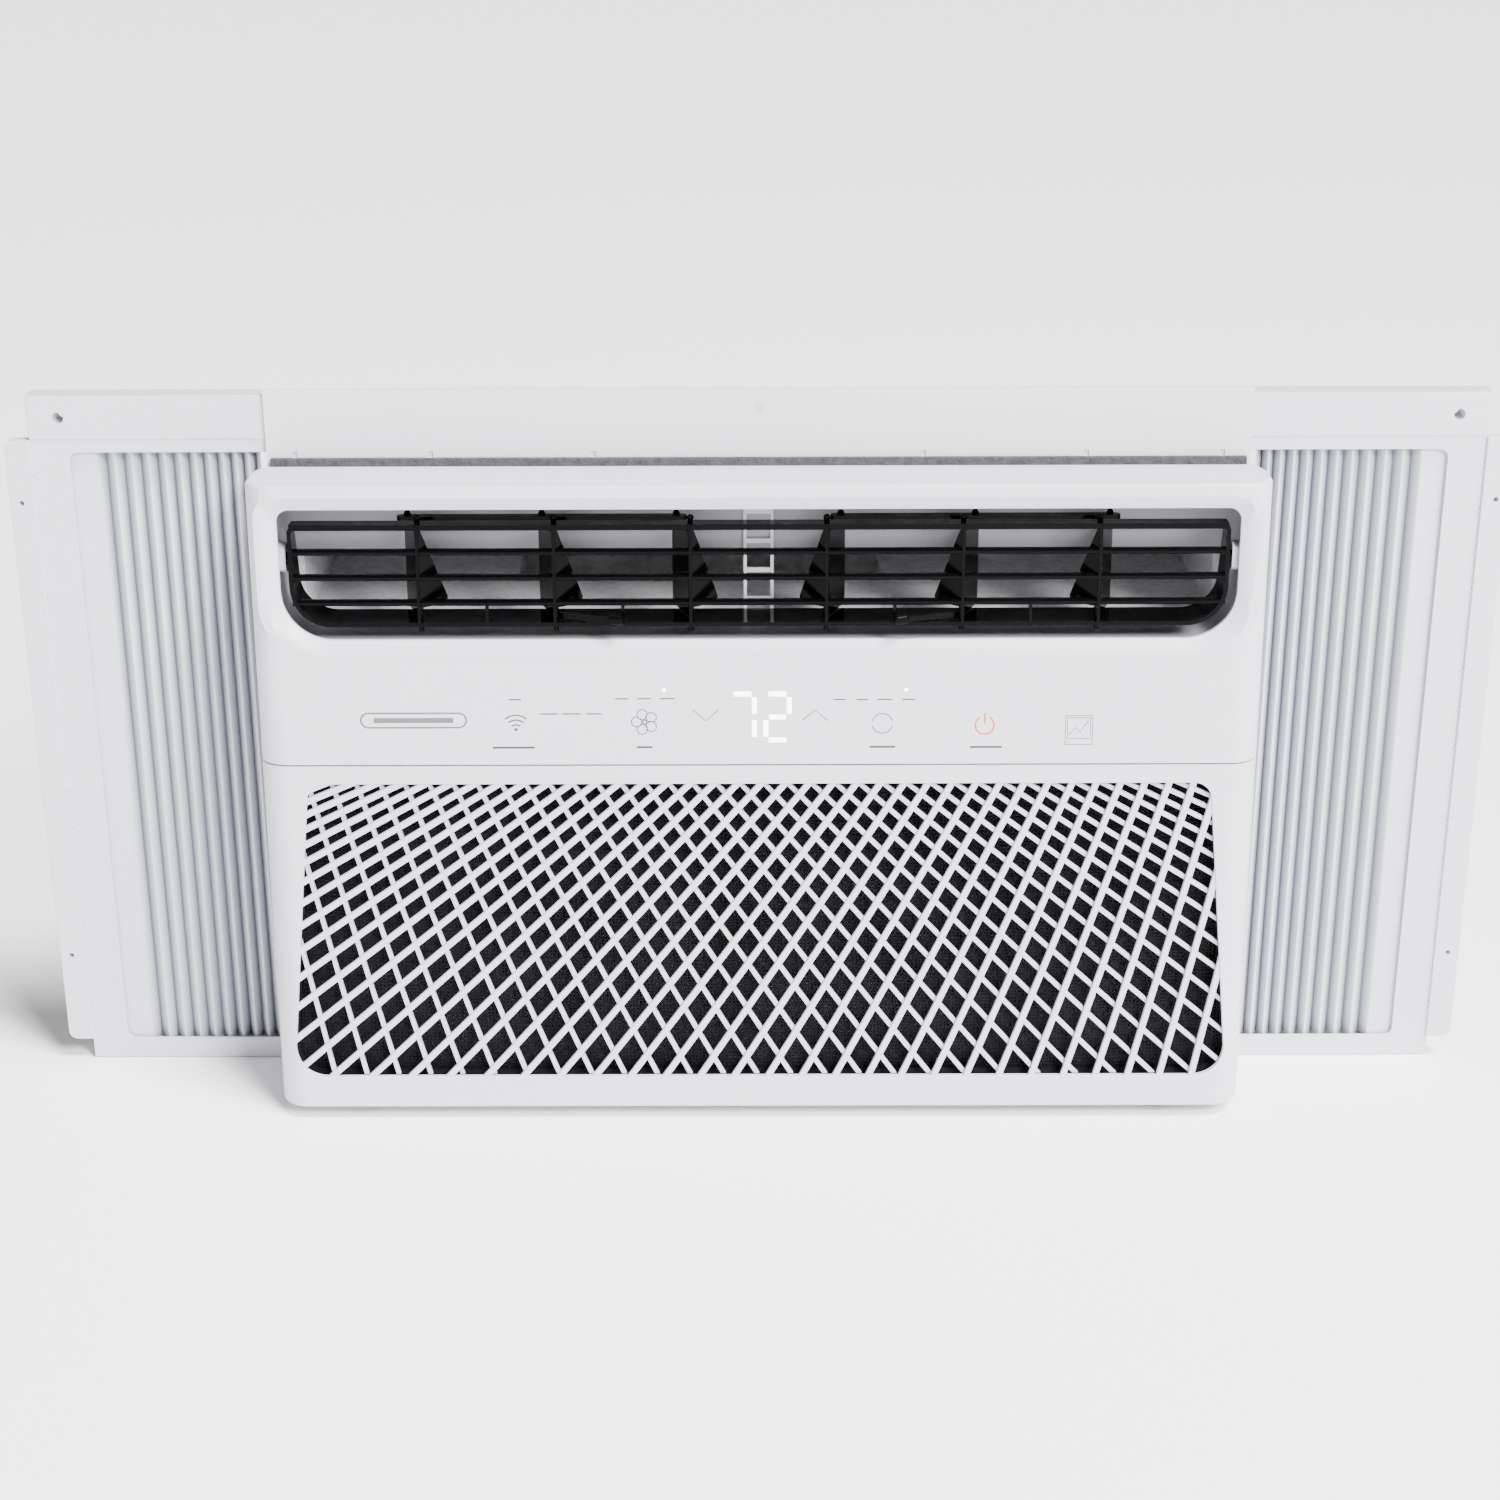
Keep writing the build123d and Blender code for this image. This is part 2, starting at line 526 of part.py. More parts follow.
def make_rear_guard():
    """Wire guard that covers the condenser, welded to a flat rim."""
    half = SHELL_W / 2
    low, high = 15.0, SHELL_TOP
    rim = block(-half, half, SHELL_REAR + 0.2, SHELL_REAR + 2.0, low, high)
    rim = rim - block(-half + 16, half - 16, SHELL_REAR - 1, SHELL_REAR + 4, low + 16, high - 14)
    wires = [block(x - 1.0, x + 1.0, SHELL_REAR + 1.4, SHELL_REAR + 4.2, low + 12, high - 10)
             for x in [(-half + 12) + 446 / 22 * k for k in range(23)]]
    bars = [block(-half + 10, half - 10, SHELL_REAR + 3.6, DEPTH, z - 1.4, z + 1.4) for z in (50, 116, 182, 248)]
    return rim.fuse(*wires, *bars)


def make_partition():
    """Steel bulkhead between the room side and the outdoor side."""
    half = SHELL_W / 2 - 4
    wall = block(-half, half, BULKHEAD, BULKHEAD + 1.2, 3.6, SHELL_TOP - 3)
    wall = wall - rod(SHAFT_X, BULKHEAD, SHAFT_Z, 12, 10, "Y")
    return wall - rod(216, BULKHEAD, 12, 4, 10, "Y") - rod(134, BULKHEAD, 200, 6, 10, "Y")


# ---- Air channel and fans -----------------------------------------------------------------------------------
def make_air_channel():
    """Foam casing: blower volute behind the coil and a full-width channel forward to the outlet."""
    top = SHELL_TOP - 3
    rear = BULKHEAD - 0.4
    body = block(-226, 126, CHANNEL_FRONT, rear, 20, top)
    over_coil = block(-226, 226, 64, CHANNEL_FRONT, 236, top)
    tail = block(126, 226, CHANNEL_FRONT, rear, 236, top)
    casing = body + over_coil + tail
    depth = rear - 2 - (CHANNEL_FRONT + 4)
    middle = (rear - 2 + CHANNEL_FRONT + 4) / 2
    volute = rod(SHAFT_X, middle, SHAFT_Z, 93, depth, "Y")
    throat = block(SHAFT_X - 93, SHAFT_X + 93, CHANNEL_FRONT + 4, rear - 4, SHAFT_Z, 262)
    mouth = block(-221, 221, 60, rear - 6, 245, top - 4)
    inlet = rod(SHAFT_X, CHANNEL_FRONT + 2, SHAFT_Z, 60, 10, "Y")
    bearing_gap = rod(SHAFT_X, rear, SHAFT_Z, 12, 10, "Y")
    return casing - volute - throat - mouth - inlet - bearing_gap


def make_motor_shaft():
    return rod(SHAFT_X, (124 + 276) / 2, SHAFT_Z, SHAFT_R, 276 - 124, "Y")


def make_blower_wheel():
    """Forward-curved blower wheel with a hub plate at its rear."""
    count = 36
    width = 48.0
    blades = []
    for k in range(count):
        blade = Pos(BLOWER_R - 7.5, 0, 0) * Rot(Z=35) * Box(13, 1.2, width)
        blades.append(Rot(Z=k * 360 / count) * blade)
    plate = Pos(0, 0, -width / 2) * Cylinder(BLOWER_R, 2.0)
    rim = Pos(0, 0, width / 2 - 0.5) * (Cylinder(BLOWER_R, 2.0) - Cylinder(BLOWER_R - 14, 4.0))
    hub = Pos(0, 0, -width / 2 + 7) * Cylinder(13, 16)
    wheel = plate.fuse(rim, hub, *blades) & Cylinder(BLOWER_R, 80)
    wheel = wheel - Cylinder(SHAFT_R, 100)
    return Pos(SHAFT_X, 146, SHAFT_Z) * Rot(X=90) * wheel


def make_axial_fan():
    """Five-bladed outdoor fan with the slinger ring that picks up condensate."""
    blades = []
    for k in range(5):
        blade = Pos(66, 0, 0) * Rot(X=28) * Box(112, 62, 2.0)
        blades.append(Rot(Z=k * 72) * blade)
    hub = Cylinder(24, 22) - Pos(0, 0, 4) * Cylinder(21, 22) + Cylinder(9, 22)
    ring = Cylinder(AXIAL_R, 9) - Cylinder(AXIAL_R - 2.2, 12)
    trimmed = [blade & Cylinder(AXIAL_R - 1, 60) for blade in blades]
    fan = hub.fuse(ring, *trimmed) - Cylinder(SHAFT_R, 60)
    return Pos(SHAFT_X, FAN_Y, SHAFT_Z) * Rot(X=90) * fan


def make_fan_motor():
    """Double-shaft motor: drum with end bells."""
    drum = rod(SHAFT_X, MOTOR_Y, SHAFT_Z, 52, 42, "Y")
    bells = rod(SHAFT_X, MOTOR_Y, SHAFT_Z, 40, 54, "Y")
    bosses = rod(SHAFT_X, MOTOR_Y, SHAFT_Z, 14, 62, "Y")
    return drum.fuse(bells, bosses) - rod(SHAFT_X, MOTOR_Y, SHAFT_Z, SHAFT_R + RUN_CLEARANCE, 120, "Y")


def make_motor_bracket():
    """Pressed stand that cradles the motor and bolts to the base."""
    front, rear = MOTOR_Y - 12, MOTOR_Y + 12
    post = block(SHAFT_X - 42, SHAFT_X + 42, front, rear, 1.4, SHAFT_Z)
    post = post - rod(SHAFT_X, MOTOR_Y, SHAFT_Z, 52, 60, "Y")
    post = post - block(SHAFT_X - 39, SHAFT_X + 39, front + 2, rear - 2, 3.4, SHAFT_Z - 58)
    foot = block(SHAFT_X - 58, SHAFT_X + 58, front, rear, 1.4, 3.4)
    return post + foot


def make_fan_shroud():
    """Sheet wall with a rolled orifice round the outdoor fan."""
    half = SHELL_W / 2 - 5
    orifice = AXIAL_R + 4
    wall = block(-half, half, SHROUD_Y, SHROUD_Y + 1.2, 3.6, SHELL_TOP - 3)
    ring = rod(SHAFT_X, SHROUD_Y - 7, SHAFT_Z, orifice + 1.2, 16, "Y")
    shroud = (wall + ring) - rod(SHAFT_X, SHROUD_Y, SHAFT_Z, orifice, 40, "Y")
    return shroud - rod(212, SHROUD_Y, 222, 4.5, 10, "Y")


# ---- Coils and refrigerant circuit --------------------------------------------------------------------------
def serpentine(x0, x1, y, z0, pitch, count, radius):
    """One row of coil tube, up and down through the fins with U bends at its ends."""
    points = []
    for k in range(count):
        ends = (x0, x1) if k % 2 == 0 else (x1, x0)
        points += [(ends[0], y, z0 + k * pitch), (ends[1], y, z0 + k * pitch)]
    return tube(points, radius, pitch / 2 - 0.4)


def coil(x0, x1, y0, y1, z0, z1, rows, pitch, radius):
    """Fin pack, end plates and tubes of one coil."""
    count = int((z1 - z0) / pitch)
    first = z0 + ((z1 - z0) - (count - 1) * pitch) / 2
    depths = [y0 + (y1 - y0) * (k + 0.5) / rows for k in range(rows)]
    tubes = [serpentine(x0 - 12, x1 + 12, y, first, pitch, count, radius) for y in depths]
    holes = [rod((x0 + x1) / 2, y, first + k * pitch, radius + 0.05, x1 - x0 + 10, "X")
             for y in depths for k in range(count)]
    fins = block(x0 + 1.6, x1 - 1.6, y0, y1, z0, z1).cut(*holes)
    plates = [block(x, x + 1.4, y0 - 1, y1 + 1, z0 - 1.5, z1 + 1.5).cut(*holes) for x in (x0, x1 - 1.4)]
    return fins, tubes, plates


COMPRESSOR_PLACE = (162.0, 229.0)
FOOT_CIRCLE = 46.5            # distance of the compressor's feet from its axis


def make_compressor():
    """Hermetic shell with domed ends and a three-footed base plate."""
    x, y = COMPRESSOR_PLACE
    can = fillet(rod(x, y, 105, 47, 156).edges().filter_by(GeomType.CIRCLE), 22)
    plate = Pos(x, y, 25.5) * extrude(RegularPolygon(62, 3), 3)
    plate = plate & rod(x, y, 26, 56, 20)
    stub = rod(x + 6, y + 12, 186, 4.0, 20) - rod(x, y, 105, 46, 150)
    feet = [rod(*place, 27, 4.6, 20) for place in foot_places()]
    return (can + plate + stub).cut(*feet)


def foot_places():
    x, y = COMPRESSOR_PLACE
    return [(x + FOOT_CIRCLE * cos(radians(a)), y + FOOT_CIRCLE * sin(radians(a))) for a in (0, 120, 240)]


def make_compressor_mounts():
    """Rubber grommets on studs under the compressor's feet."""
    return [rod(x, y, 13.4, 8.0, 24.0) + rod(x, y, 28, 4.5, 7) + rod(x, y, 30.6, 6.0, 3.6)
            for x, y in foot_places()]


def make_accumulator():
    """Small suction can beside the compressor."""
    can = rod(104, 200, 96, 14, 96)
    return fillet(can.edges().filter_by(GeomType.CIRCLE), 5) + rod(104, 200, 146, 4, 12)


def make_terminal_cover():
    return fillet(block(209.3, 220, 215, 243, 110, 152).edges().filter_by(Axis.X), 5)


COIL_X = (-214.0, 116.0)


def make_suction_pipe():
    return tube([(104, 200, 152.1), (104, 200, 200), (134, 200, 200), (134, 104, 200)], 4.0, 12)


def make_discharge_pipe():
    x, y = COMPRESSOR_PLACE[0] + 6, COMPRESSOR_PLACE[1] + 12
    points = [(x, y, 196.1), (x, y, 222), (212, y, 222), (212, 290, 222), (212, 290, 262)]
    return tube(points, 3.2, 12)


def make_filter_drier():
    return rod(216, 192, 68, 9, 62) + rod(216, 192, 103, 4, 8) + rod(216, 192, 33, 4, 8)


def make_capillary_tube():
    points = [(216, 192, 28.9), (216, 192, 12), (216, 130, 12)]
    return tube(points, 1.4, 7)


def make_electrical_box():
    """Folded steel control box on the room side."""
    outer = block(143, 226, 112, BULKHEAD - 2, 40, 228)
    return outer - block(145, 224, 114, BULKHEAD, 42, 226)


def make_capacitor():
    can = rod(170, 142, 170, 20, 70)
    return fillet(can.edges().filter_by(GeomType.CIRCLE), 2.5)


def make_drain_plug():
    return rod(-150, SHELL_REAR - 0.7, 8, 5.5, 5, "Y") + rod(-150, SHELL_REAR - 2.6, 8, 6.4, 2.2, "Y")


# ---- Build --------------------------------------------------------------------------------------------------
os.makedirs("parts", exist_ok=True)

save("front_panel", make_front_panel())
save("outlet_duct", make_outlet_duct())
save("duct_divider", make_duct_divider())
save("front_chassis", make_front_chassis())
save("cord_gland", make_cord_gland())
save("control_board", make_control_board())
save("display_module", make_display_module())

save("louver_frame", make_louver_frame())
for side_name, side in SIDES.items():
    for k in range(3):
        save(f"vane_{side_name}_{k + 1}", make_vane(side * RIB_PITCH * (k + 0.5), k == 1))
    save(f"link_{side_name}", make_link(side))

save("grille_cover", make_grille_cover())
save("lattice_front", *lattice_bars(1, 2.9, 0.6, 3.0))
save("lattice_back", *lattice_bars(-1, 2.2, 3.0, 5.2))
save("filter_frame", make_filter_frame())
save("filter_mesh", make_filter_mesh())

save("top_rail", make_top_rail())
save("top_seal", make_top_seal())
save("rail_screws", *[screw(x, RAIL_FRONT + 15, SHELL_TOP + 1.6, "Z", 1, 3.6) for x in RAIL_SCREWS])
save("bottom_guide", make_bottom_guide())
for side_name, side in SIDES.items():
    save(f"{side_name}_curtain_frame", make_curtain_frame(side))
    save(f"{side_name}_bellows", make_bellows(side))
    save(f"{side_name}_retainer", make_retainer(side))

save("base_pan", make_base_pan())
save("cabinet_shell", make_cabinet_shell())
save("cabinet_screws", *[screw(x, y, z, "X", 1 if x > 0 else -1) for x, y, z in SCREW_SIDES])
save("rear_guard", make_rear_guard())
save("partition", make_partition())
save("air_channel", make_air_channel())
save("fan_motor", make_fan_motor())
save("motor_bracket", make_motor_bracket())
save("motor_shaft", make_motor_shaft())
save("blower_wheel", make_blower_wheel())
save("axial_fan", make_axial_fan())
save("fan_shroud", make_fan_shroud())

for coil_name, place in {"evaporator": (*COIL_X, COIL_FRONT, COIL_FRONT + 26, 24, 230, 2, 22, 4.0),
                         "condenser": (-214, 196, CONDENSER_FRONT, CONDENSER_REAR, 20, 276, 2, 23, 4.4)}.items():
    fins, tubes, plates = coil(*place)
    save(f"{coil_name}_fins", fins)
    save(f"{coil_name}_tubes", *tubes)
    save(f"{coil_name}_plates", *plates)

save("compressor", make_compressor())
save("compressor_mounts", *make_compressor_mounts())
save("terminal_cover", make_terminal_cover())
save("accumulator", make_accumulator())
save("suction_pipe", make_suction_pipe())
save("discharge_pipe", make_discharge_pipe())
save("filter_drier", make_filter_drier())
save("capillary_tube", make_capillary_tube())
save("electrical_box", make_electrical_box())
save("capacitor", make_capacitor())
save("drain_plug", make_drain_plug())
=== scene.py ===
"""Window air conditioner: looks of the cabinet, cooling set, curtains, plastic front, louver and grille."""

import json
from math import asin, cos, pi, radians, sin

import bpy
from mathutils import Matrix, Vector


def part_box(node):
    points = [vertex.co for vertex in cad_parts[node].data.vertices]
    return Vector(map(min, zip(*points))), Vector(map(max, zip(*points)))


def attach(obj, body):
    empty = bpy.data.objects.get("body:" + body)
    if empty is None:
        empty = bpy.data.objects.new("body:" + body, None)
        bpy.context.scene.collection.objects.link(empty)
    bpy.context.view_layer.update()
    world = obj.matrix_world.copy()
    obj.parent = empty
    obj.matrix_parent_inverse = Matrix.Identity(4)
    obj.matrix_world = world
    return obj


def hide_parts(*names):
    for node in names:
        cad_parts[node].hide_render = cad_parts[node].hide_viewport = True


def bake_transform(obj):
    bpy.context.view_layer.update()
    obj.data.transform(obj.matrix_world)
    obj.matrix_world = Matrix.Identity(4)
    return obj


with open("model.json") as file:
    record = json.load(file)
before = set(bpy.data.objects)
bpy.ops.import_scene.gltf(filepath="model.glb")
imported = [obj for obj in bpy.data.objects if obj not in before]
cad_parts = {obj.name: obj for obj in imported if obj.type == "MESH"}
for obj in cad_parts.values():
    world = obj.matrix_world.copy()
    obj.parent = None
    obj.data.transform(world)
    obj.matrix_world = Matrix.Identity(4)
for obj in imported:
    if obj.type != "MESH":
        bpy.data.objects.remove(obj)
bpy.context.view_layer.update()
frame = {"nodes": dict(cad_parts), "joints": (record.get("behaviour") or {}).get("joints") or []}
nodes = frame["nodes"]
MM = 0.001


# ---- Camera, floor and studio light --------------------------------------------------------------
# The unit is seen from the room, square on and from above. It stands on a plain pale floor. A strong soft
# panel stands in front at the right, a weak one fills the left, and wide even light falls from overhead.
camera = bpy.data.objects.new("camera", bpy.data.cameras.new("camera"))
bpy.context.scene.collection.objects.link(camera)
front_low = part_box("grille_cover")[0]
camera.location = (-0.0012, front_low.y - 1.1646, front_low.z + 0.6650)
camera.rotation_euler = (radians(68), radians(0.18), radians(0.08))
camera.data.lens = 63.5
camera.data.sensor_width = 36
bpy.context.scene.camera = camera


def build_material(name, colour, roughness, metallic=0.0):
    """A shader with even settings, and its node tree for the detail that follows."""
    material = bpy.data.materials.new(name)
    material.use_nodes = True
    tree = material.node_tree
    shader = tree.nodes["Principled BSDF"]
    shader.inputs["Base Color"].default_value = (*colour, 1)
    shader.inputs["Roughness"].default_value = roughness
    shader.inputs["Metallic"].default_value = metallic
    return material, tree, shader


def add_area_light(name, place, target, size, power):
    light = bpy.data.lights.new(name, "AREA")
    light.shape = "RECTANGLE"
    light.size, light.size_y = size
    light.energy = power
    lamp = bpy.data.objects.new(name, light)
    lamp.location = place
    aim = Vector(target) - Vector(place)
    lamp.rotation_euler = aim.to_track_quat("-Z", "Y").to_euler()
    bpy.context.scene.collection.objects.link(lamp)


FLOOR_SIZE = 60
FLOOR_GAP = 0.5 * MM
bpy.ops.mesh.primitive_plane_add(size=FLOOR_SIZE, location=(0, 0, -FLOOR_GAP))
floor = bpy.context.active_object
floor.name = "floor"
floor_material, _, _ = build_material("pale_floor", (0.99, 0.99, 0.99), 0.9)
floor.data.materials.append(floor_material)

UNIT_MIDDLE = (0, 0, 0.15)
add_area_light("key_light", (1.3, -2.1, 1.9), UNIT_MIDDLE, (0.8, 0.8), 200)
add_area_light("fill_light", (-1.9, -1.5, 1.0), UNIT_MIDDLE, (1.2, 1.2), 14)

overhead = bpy.data.objects.new("overhead_light", bpy.data.lights.new("overhead_light", "SUN"))
overhead.data.energy = 9.0
overhead.data.angle = radians(18)
overhead.rotation_euler = (radians(14), radians(24), 0)
bpy.context.scene.collection.objects.link(overhead)

studio = bpy.data.worlds.new("studio")
bpy.context.scene.world = studio
studio.use_nodes = True
studio.node_tree.nodes["Background"].inputs["Color"].default_value = (1, 1, 1, 1)
studio.node_tree.nodes["Background"].inputs["Strength"].default_value = 0.22


# ---- Base pan, bulkhead and fan wall -------------------------------------------------------------
# Pressed and folded parts of zinc-coated steel. The zinc shows as a faint patchwork of crystals, duller where
# hands and condensate have been.
def object_place(tree, stretch=(1, 1, 1), turn=(0, 0, 0)):
    """Coordinates fixed to the piece, in metres."""
    place = tree.nodes.new("ShaderNodeTexCoord")
    mapping = tree.nodes.new("ShaderNodeMapping")
    mapping.inputs["Scale"].default_value = stretch
    mapping.inputs["Rotation"].default_value = turn
    tree.links.new(place.outputs["Object"], mapping.inputs["Vector"])
    return mapping.outputs["Vector"]


def noise(tree, scale, detail=3.0, stretch=(1, 1, 1)):
    texture = tree.nodes.new("ShaderNodeTexNoise")
    texture.inputs["Scale"].default_value = scale
    texture.inputs["Detail"].default_value = detail
    tree.links.new(object_place(tree, stretch), texture.inputs["Vector"])
    return texture.outputs["Fac"]


def cells(tree, scale, output="Color"):
    texture = tree.nodes.new("ShaderNodeTexVoronoi")
    texture.inputs["Scale"].default_value = scale
    tree.links.new(object_place(tree), texture.inputs["Vector"])
    return texture.outputs[output]


def vary_roughness(tree, shader, value, low, high):
    spread = tree.nodes.new("ShaderNodeMapRange")
    spread.inputs["From Min"].default_value = 0.3
    spread.inputs["From Max"].default_value = 0.7
    spread.inputs["To Min"].default_value = low
    spread.inputs["To Max"].default_value = high
    tree.links.new(value, spread.inputs["Value"])
    tree.links.new(spread.outputs["Result"], shader.inputs["Roughness"])


def vary_colour(tree, shader, value, first, second, start=0.35, end=0.65):
    ramp = tree.nodes.new("ShaderNodeValToRGB")
    ramp.color_ramp.elements[0].position = start
    ramp.color_ramp.elements[0].color = (*first, 1)
    ramp.color_ramp.elements[1].position = end
    ramp.color_ramp.elements[1].color = (*second, 1)
    tree.links.new(value, ramp.inputs["Fac"])
    tree.links.new(ramp.outputs["Color"], shader.inputs["Base Color"])


def raise_grain(tree, shader, value, depth, strength=1.0):
    bump = tree.nodes.new("ShaderNodeBump")
    bump.inputs["Strength"].default_value = strength
    bump.inputs["Distance"].default_value = depth
    tree.links.new(value, bump.inputs["Height"])
    tree.links.new(bump.outputs["Normal"], shader.inputs["Normal"])


def galvanised_steel(name):
    material, tree, shader = build_material(name, (0.55, 0.57, 0.59), 0.38, 0.9)
    vary_colour(tree, shader, cells(tree, 90), (0.46, 0.48, 0.50), (0.64, 0.66, 0.68), 0.1, 0.9)
    vary_roughness(tree, shader, noise(tree, 14, 5), 0.28, 0.5)
    raise_grain(tree, shader, noise(tree, 260, 3), 0.02 * MM, 0.4)
    return material


def give(material, *names):
    for name in names:
        nodes[name].data.materials.clear()
        nodes[name].data.materials.append(material)


def soften(width, *names, segments=2, sharp=38):
    """Rounds the worked edges of carried-over pieces: their mesh stays as it is, under live modifiers."""
    for name in names:
        piece = nodes[name]
        weld = piece.modifiers.new("weld", "WELD")
        weld.merge_threshold = 0.002 * MM
        flats = piece.modifiers.new("flats", "DECIMATE")
        flats.decimate_type = "DISSOLVE"
        flats.angle_limit = radians(0.4)
        rounding = piece.modifiers.new("rounding", "BEVEL")
        rounding.width = width
        rounding.segments = segments
        rounding.limit_method = "ANGLE"
        rounding.angle_limit = radians(sharp)
        rounding.harden_normals = False
        even = piece.modifiers.new("even", "WEIGHTED_NORMAL")
        even.keep_sharp = False


zinc_steel = galvanised_steel("zinc_steel")
give(zinc_steel, "base_pan", "partition", "fan_shroud", "motor_bracket", "electrical_box")
give(zinc_steel, "evaporator_plates", "condenser_plates")
soften(0.3 * MM, "base_pan", "partition", "motor_bracket", "electrical_box")


# ---- Compressor, accumulator and mounts ----------------------------------------------------------
# Deep-drawn steel cans in thick black stove enamel with a slight orange peel, on ribbed rubber grommets. The
# motor wears the same enamel.
def painted_steel(name, colour, roughness, peel=0.03 * MM, tint=0.04):
    """Sprayed or dipped paint over steel: orange peel, slow changes of gloss, faint dust."""
    material, tree, shader = build_material(name, colour, roughness)
    shader.inputs["Coat Weight"].default_value = 0.15
    shader.inputs["Coat Roughness"].default_value = 0.2
    vary_roughness(tree, shader, noise(tree, 18, 5), roughness - 0.07, roughness + 0.09)
    darker = [c * (1 - tint) for c in colour]
    lighter = [min(1.0, c * (1 + tint) + 0.004) for c in colour]
    vary_colour(tree, shader, noise(tree, 7, 6), darker, lighter)
    raise_grain(tree, shader, noise(tree, 480, 2), peel, 0.5)
    return material


def rubber(name, colour):
    material, tree, shader = build_material(name, colour, 0.7)
    shader.inputs["Specular IOR Level"].default_value = 0.3
    vary_roughness(tree, shader, noise(tree, 60, 4), 0.6, 0.82)
    vary_colour(tree, shader, noise(tree, 35, 4), colour, [c * 1.5 + 0.004 for c in colour])
    raise_grain(tree, shader, noise(tree, 900, 2), 0.04 * MM, 0.5)
    return material


black_enamel = painted_steel("black_enamel", (0.016, 0.016, 0.018), 0.36, 0.05 * MM, 0.25)
give(black_enamel, "compressor", "accumulator", "fan_motor")
black_rubber = rubber("black_rubber", (0.018, 0.018, 0.019))
give(black_rubber, "compressor_mounts", "terminal_cover", "drain_plug", "cord_gland")
soften(0.4 * MM, "compressor_mounts", "drain_plug", "fan_motor", "cord_gland", segments=3)


# ---- Refrigerant pipes ---------------------------------------------------------------------------
# Bent copper tube, bright where it was drawn and browned near the brazed joints.
def aged_copper(name):
    material, tree, shader = build_material(name, (0.80, 0.42, 0.26), 0.28, 1.0)
    vary_colour(tree, shader, noise(tree, 16, 5), (0.46, 0.22, 0.14), (0.86, 0.47, 0.30), 0.3, 0.62)
    vary_roughness(tree, shader, noise(tree, 30, 4), 0.2, 0.46)
    raise_grain(tree, shader, noise(tree, 300, 2, (1, 1, 0.1)), 0.02 * MM, 0.3)
    return material


copper = aged_copper("aged_copper")
give(copper, "suction_pipe", "discharge_pipe", "capillary_tube", "filter_drier")
give(copper, "evaporator_tubes", "condenser_tubes")


# ---- Coil fins -----------------------------------------------------------------------------------
# Each coil is a pack of thin rippled aluminium fins, pressed onto the copper tubes and dulled by dust. One
# fin is shaped and then set out along the tubes.
def fin_metal(name, colour):
    material, tree, shader = build_material(name, colour, 0.42, 0.85)
    vary_colour(tree, shader, noise(tree, 22, 5), [c * 0.72 for c in colour], colour)
    vary_roughness(tree, shader, noise(tree, 45, 3), 0.34, 0.58)
    raise_grain(tree, shader, noise(tree, 700, 2), 0.02 * MM, 0.3)
    return material


def select_only(piece):
    if bpy.context.mode != "OBJECT":
        bpy.ops.object.mode_set(mode="OBJECT")
    bpy.ops.object.select_all(action="DESELECT")
    piece.select_set(True)
    bpy.context.view_layer.objects.active = piece


def work(piece, kind, **settings):
    """Puts one modifier on the piece and applies it."""
    select_only(piece)
    tool = piece.modifiers.new(kind.lower(), kind)
    for setting, value in settings.items():
        setattr(tool, setting, value)
    bpy.ops.object.modifier_apply(modifier=tool.name)


def mark(piece, part, test):
    """Selects the points, edges or faces that pass the test, by their middle, and opens them for editing."""
    select_only(piece)
    bpy.ops.object.mode_set(mode="EDIT")
    bpy.ops.mesh.select_all(action="DESELECT")
    bpy.ops.mesh.select_mode(type=part)
    bpy.ops.object.mode_set(mode="OBJECT")
    mesh = piece.data
    points = [v.co for v in mesh.vertices]
    if part == "VERT":
        for v in mesh.vertices:
            v.select = test(v.co)
    elif part == "EDGE":
        for edge in mesh.edges:
            edge.select = test((points[edge.vertices[0]] + points[edge.vertices[1]]) / 2)
    else:
        for face in mesh.polygons:
            face.select = test(face.center)
    bpy.ops.object.mode_set(mode="EDIT")


def settle(piece, body, material, slot, *replaced):
    """Fixes the piece's place into its mesh, gives it its finish and hands it to its body."""
    select_only(piece)
    bpy.ops.object.transform_apply(location=True, rotation=True, scale=True)
    piece.data.materials.clear()
    piece.data.materials.append(material)
    if body:
        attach(piece, body)
    if replaced:
        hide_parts(*replaced)


def add_box(name, low, high):
    bpy.ops.object.select_all(action="DESELECT")
    middle = [(a + b) / 2 for a, b in zip(low, high)]
    bpy.ops.mesh.primitive_cube_add(size=1, location=middle)
    piece = bpy.context.active_object
    piece.name = name
    piece.scale = [b - a for a, b in zip(low, high)]
    bpy.ops.object.transform_apply(location=True, rotation=True, scale=True)
    return piece


def join_pieces(pieces, name):
    select_only(pieces[0])
    for piece in pieces:
        piece.select_set(True)
    bpy.ops.object.join()
    joined = bpy.context.active_object
    joined.name = name
    return joined


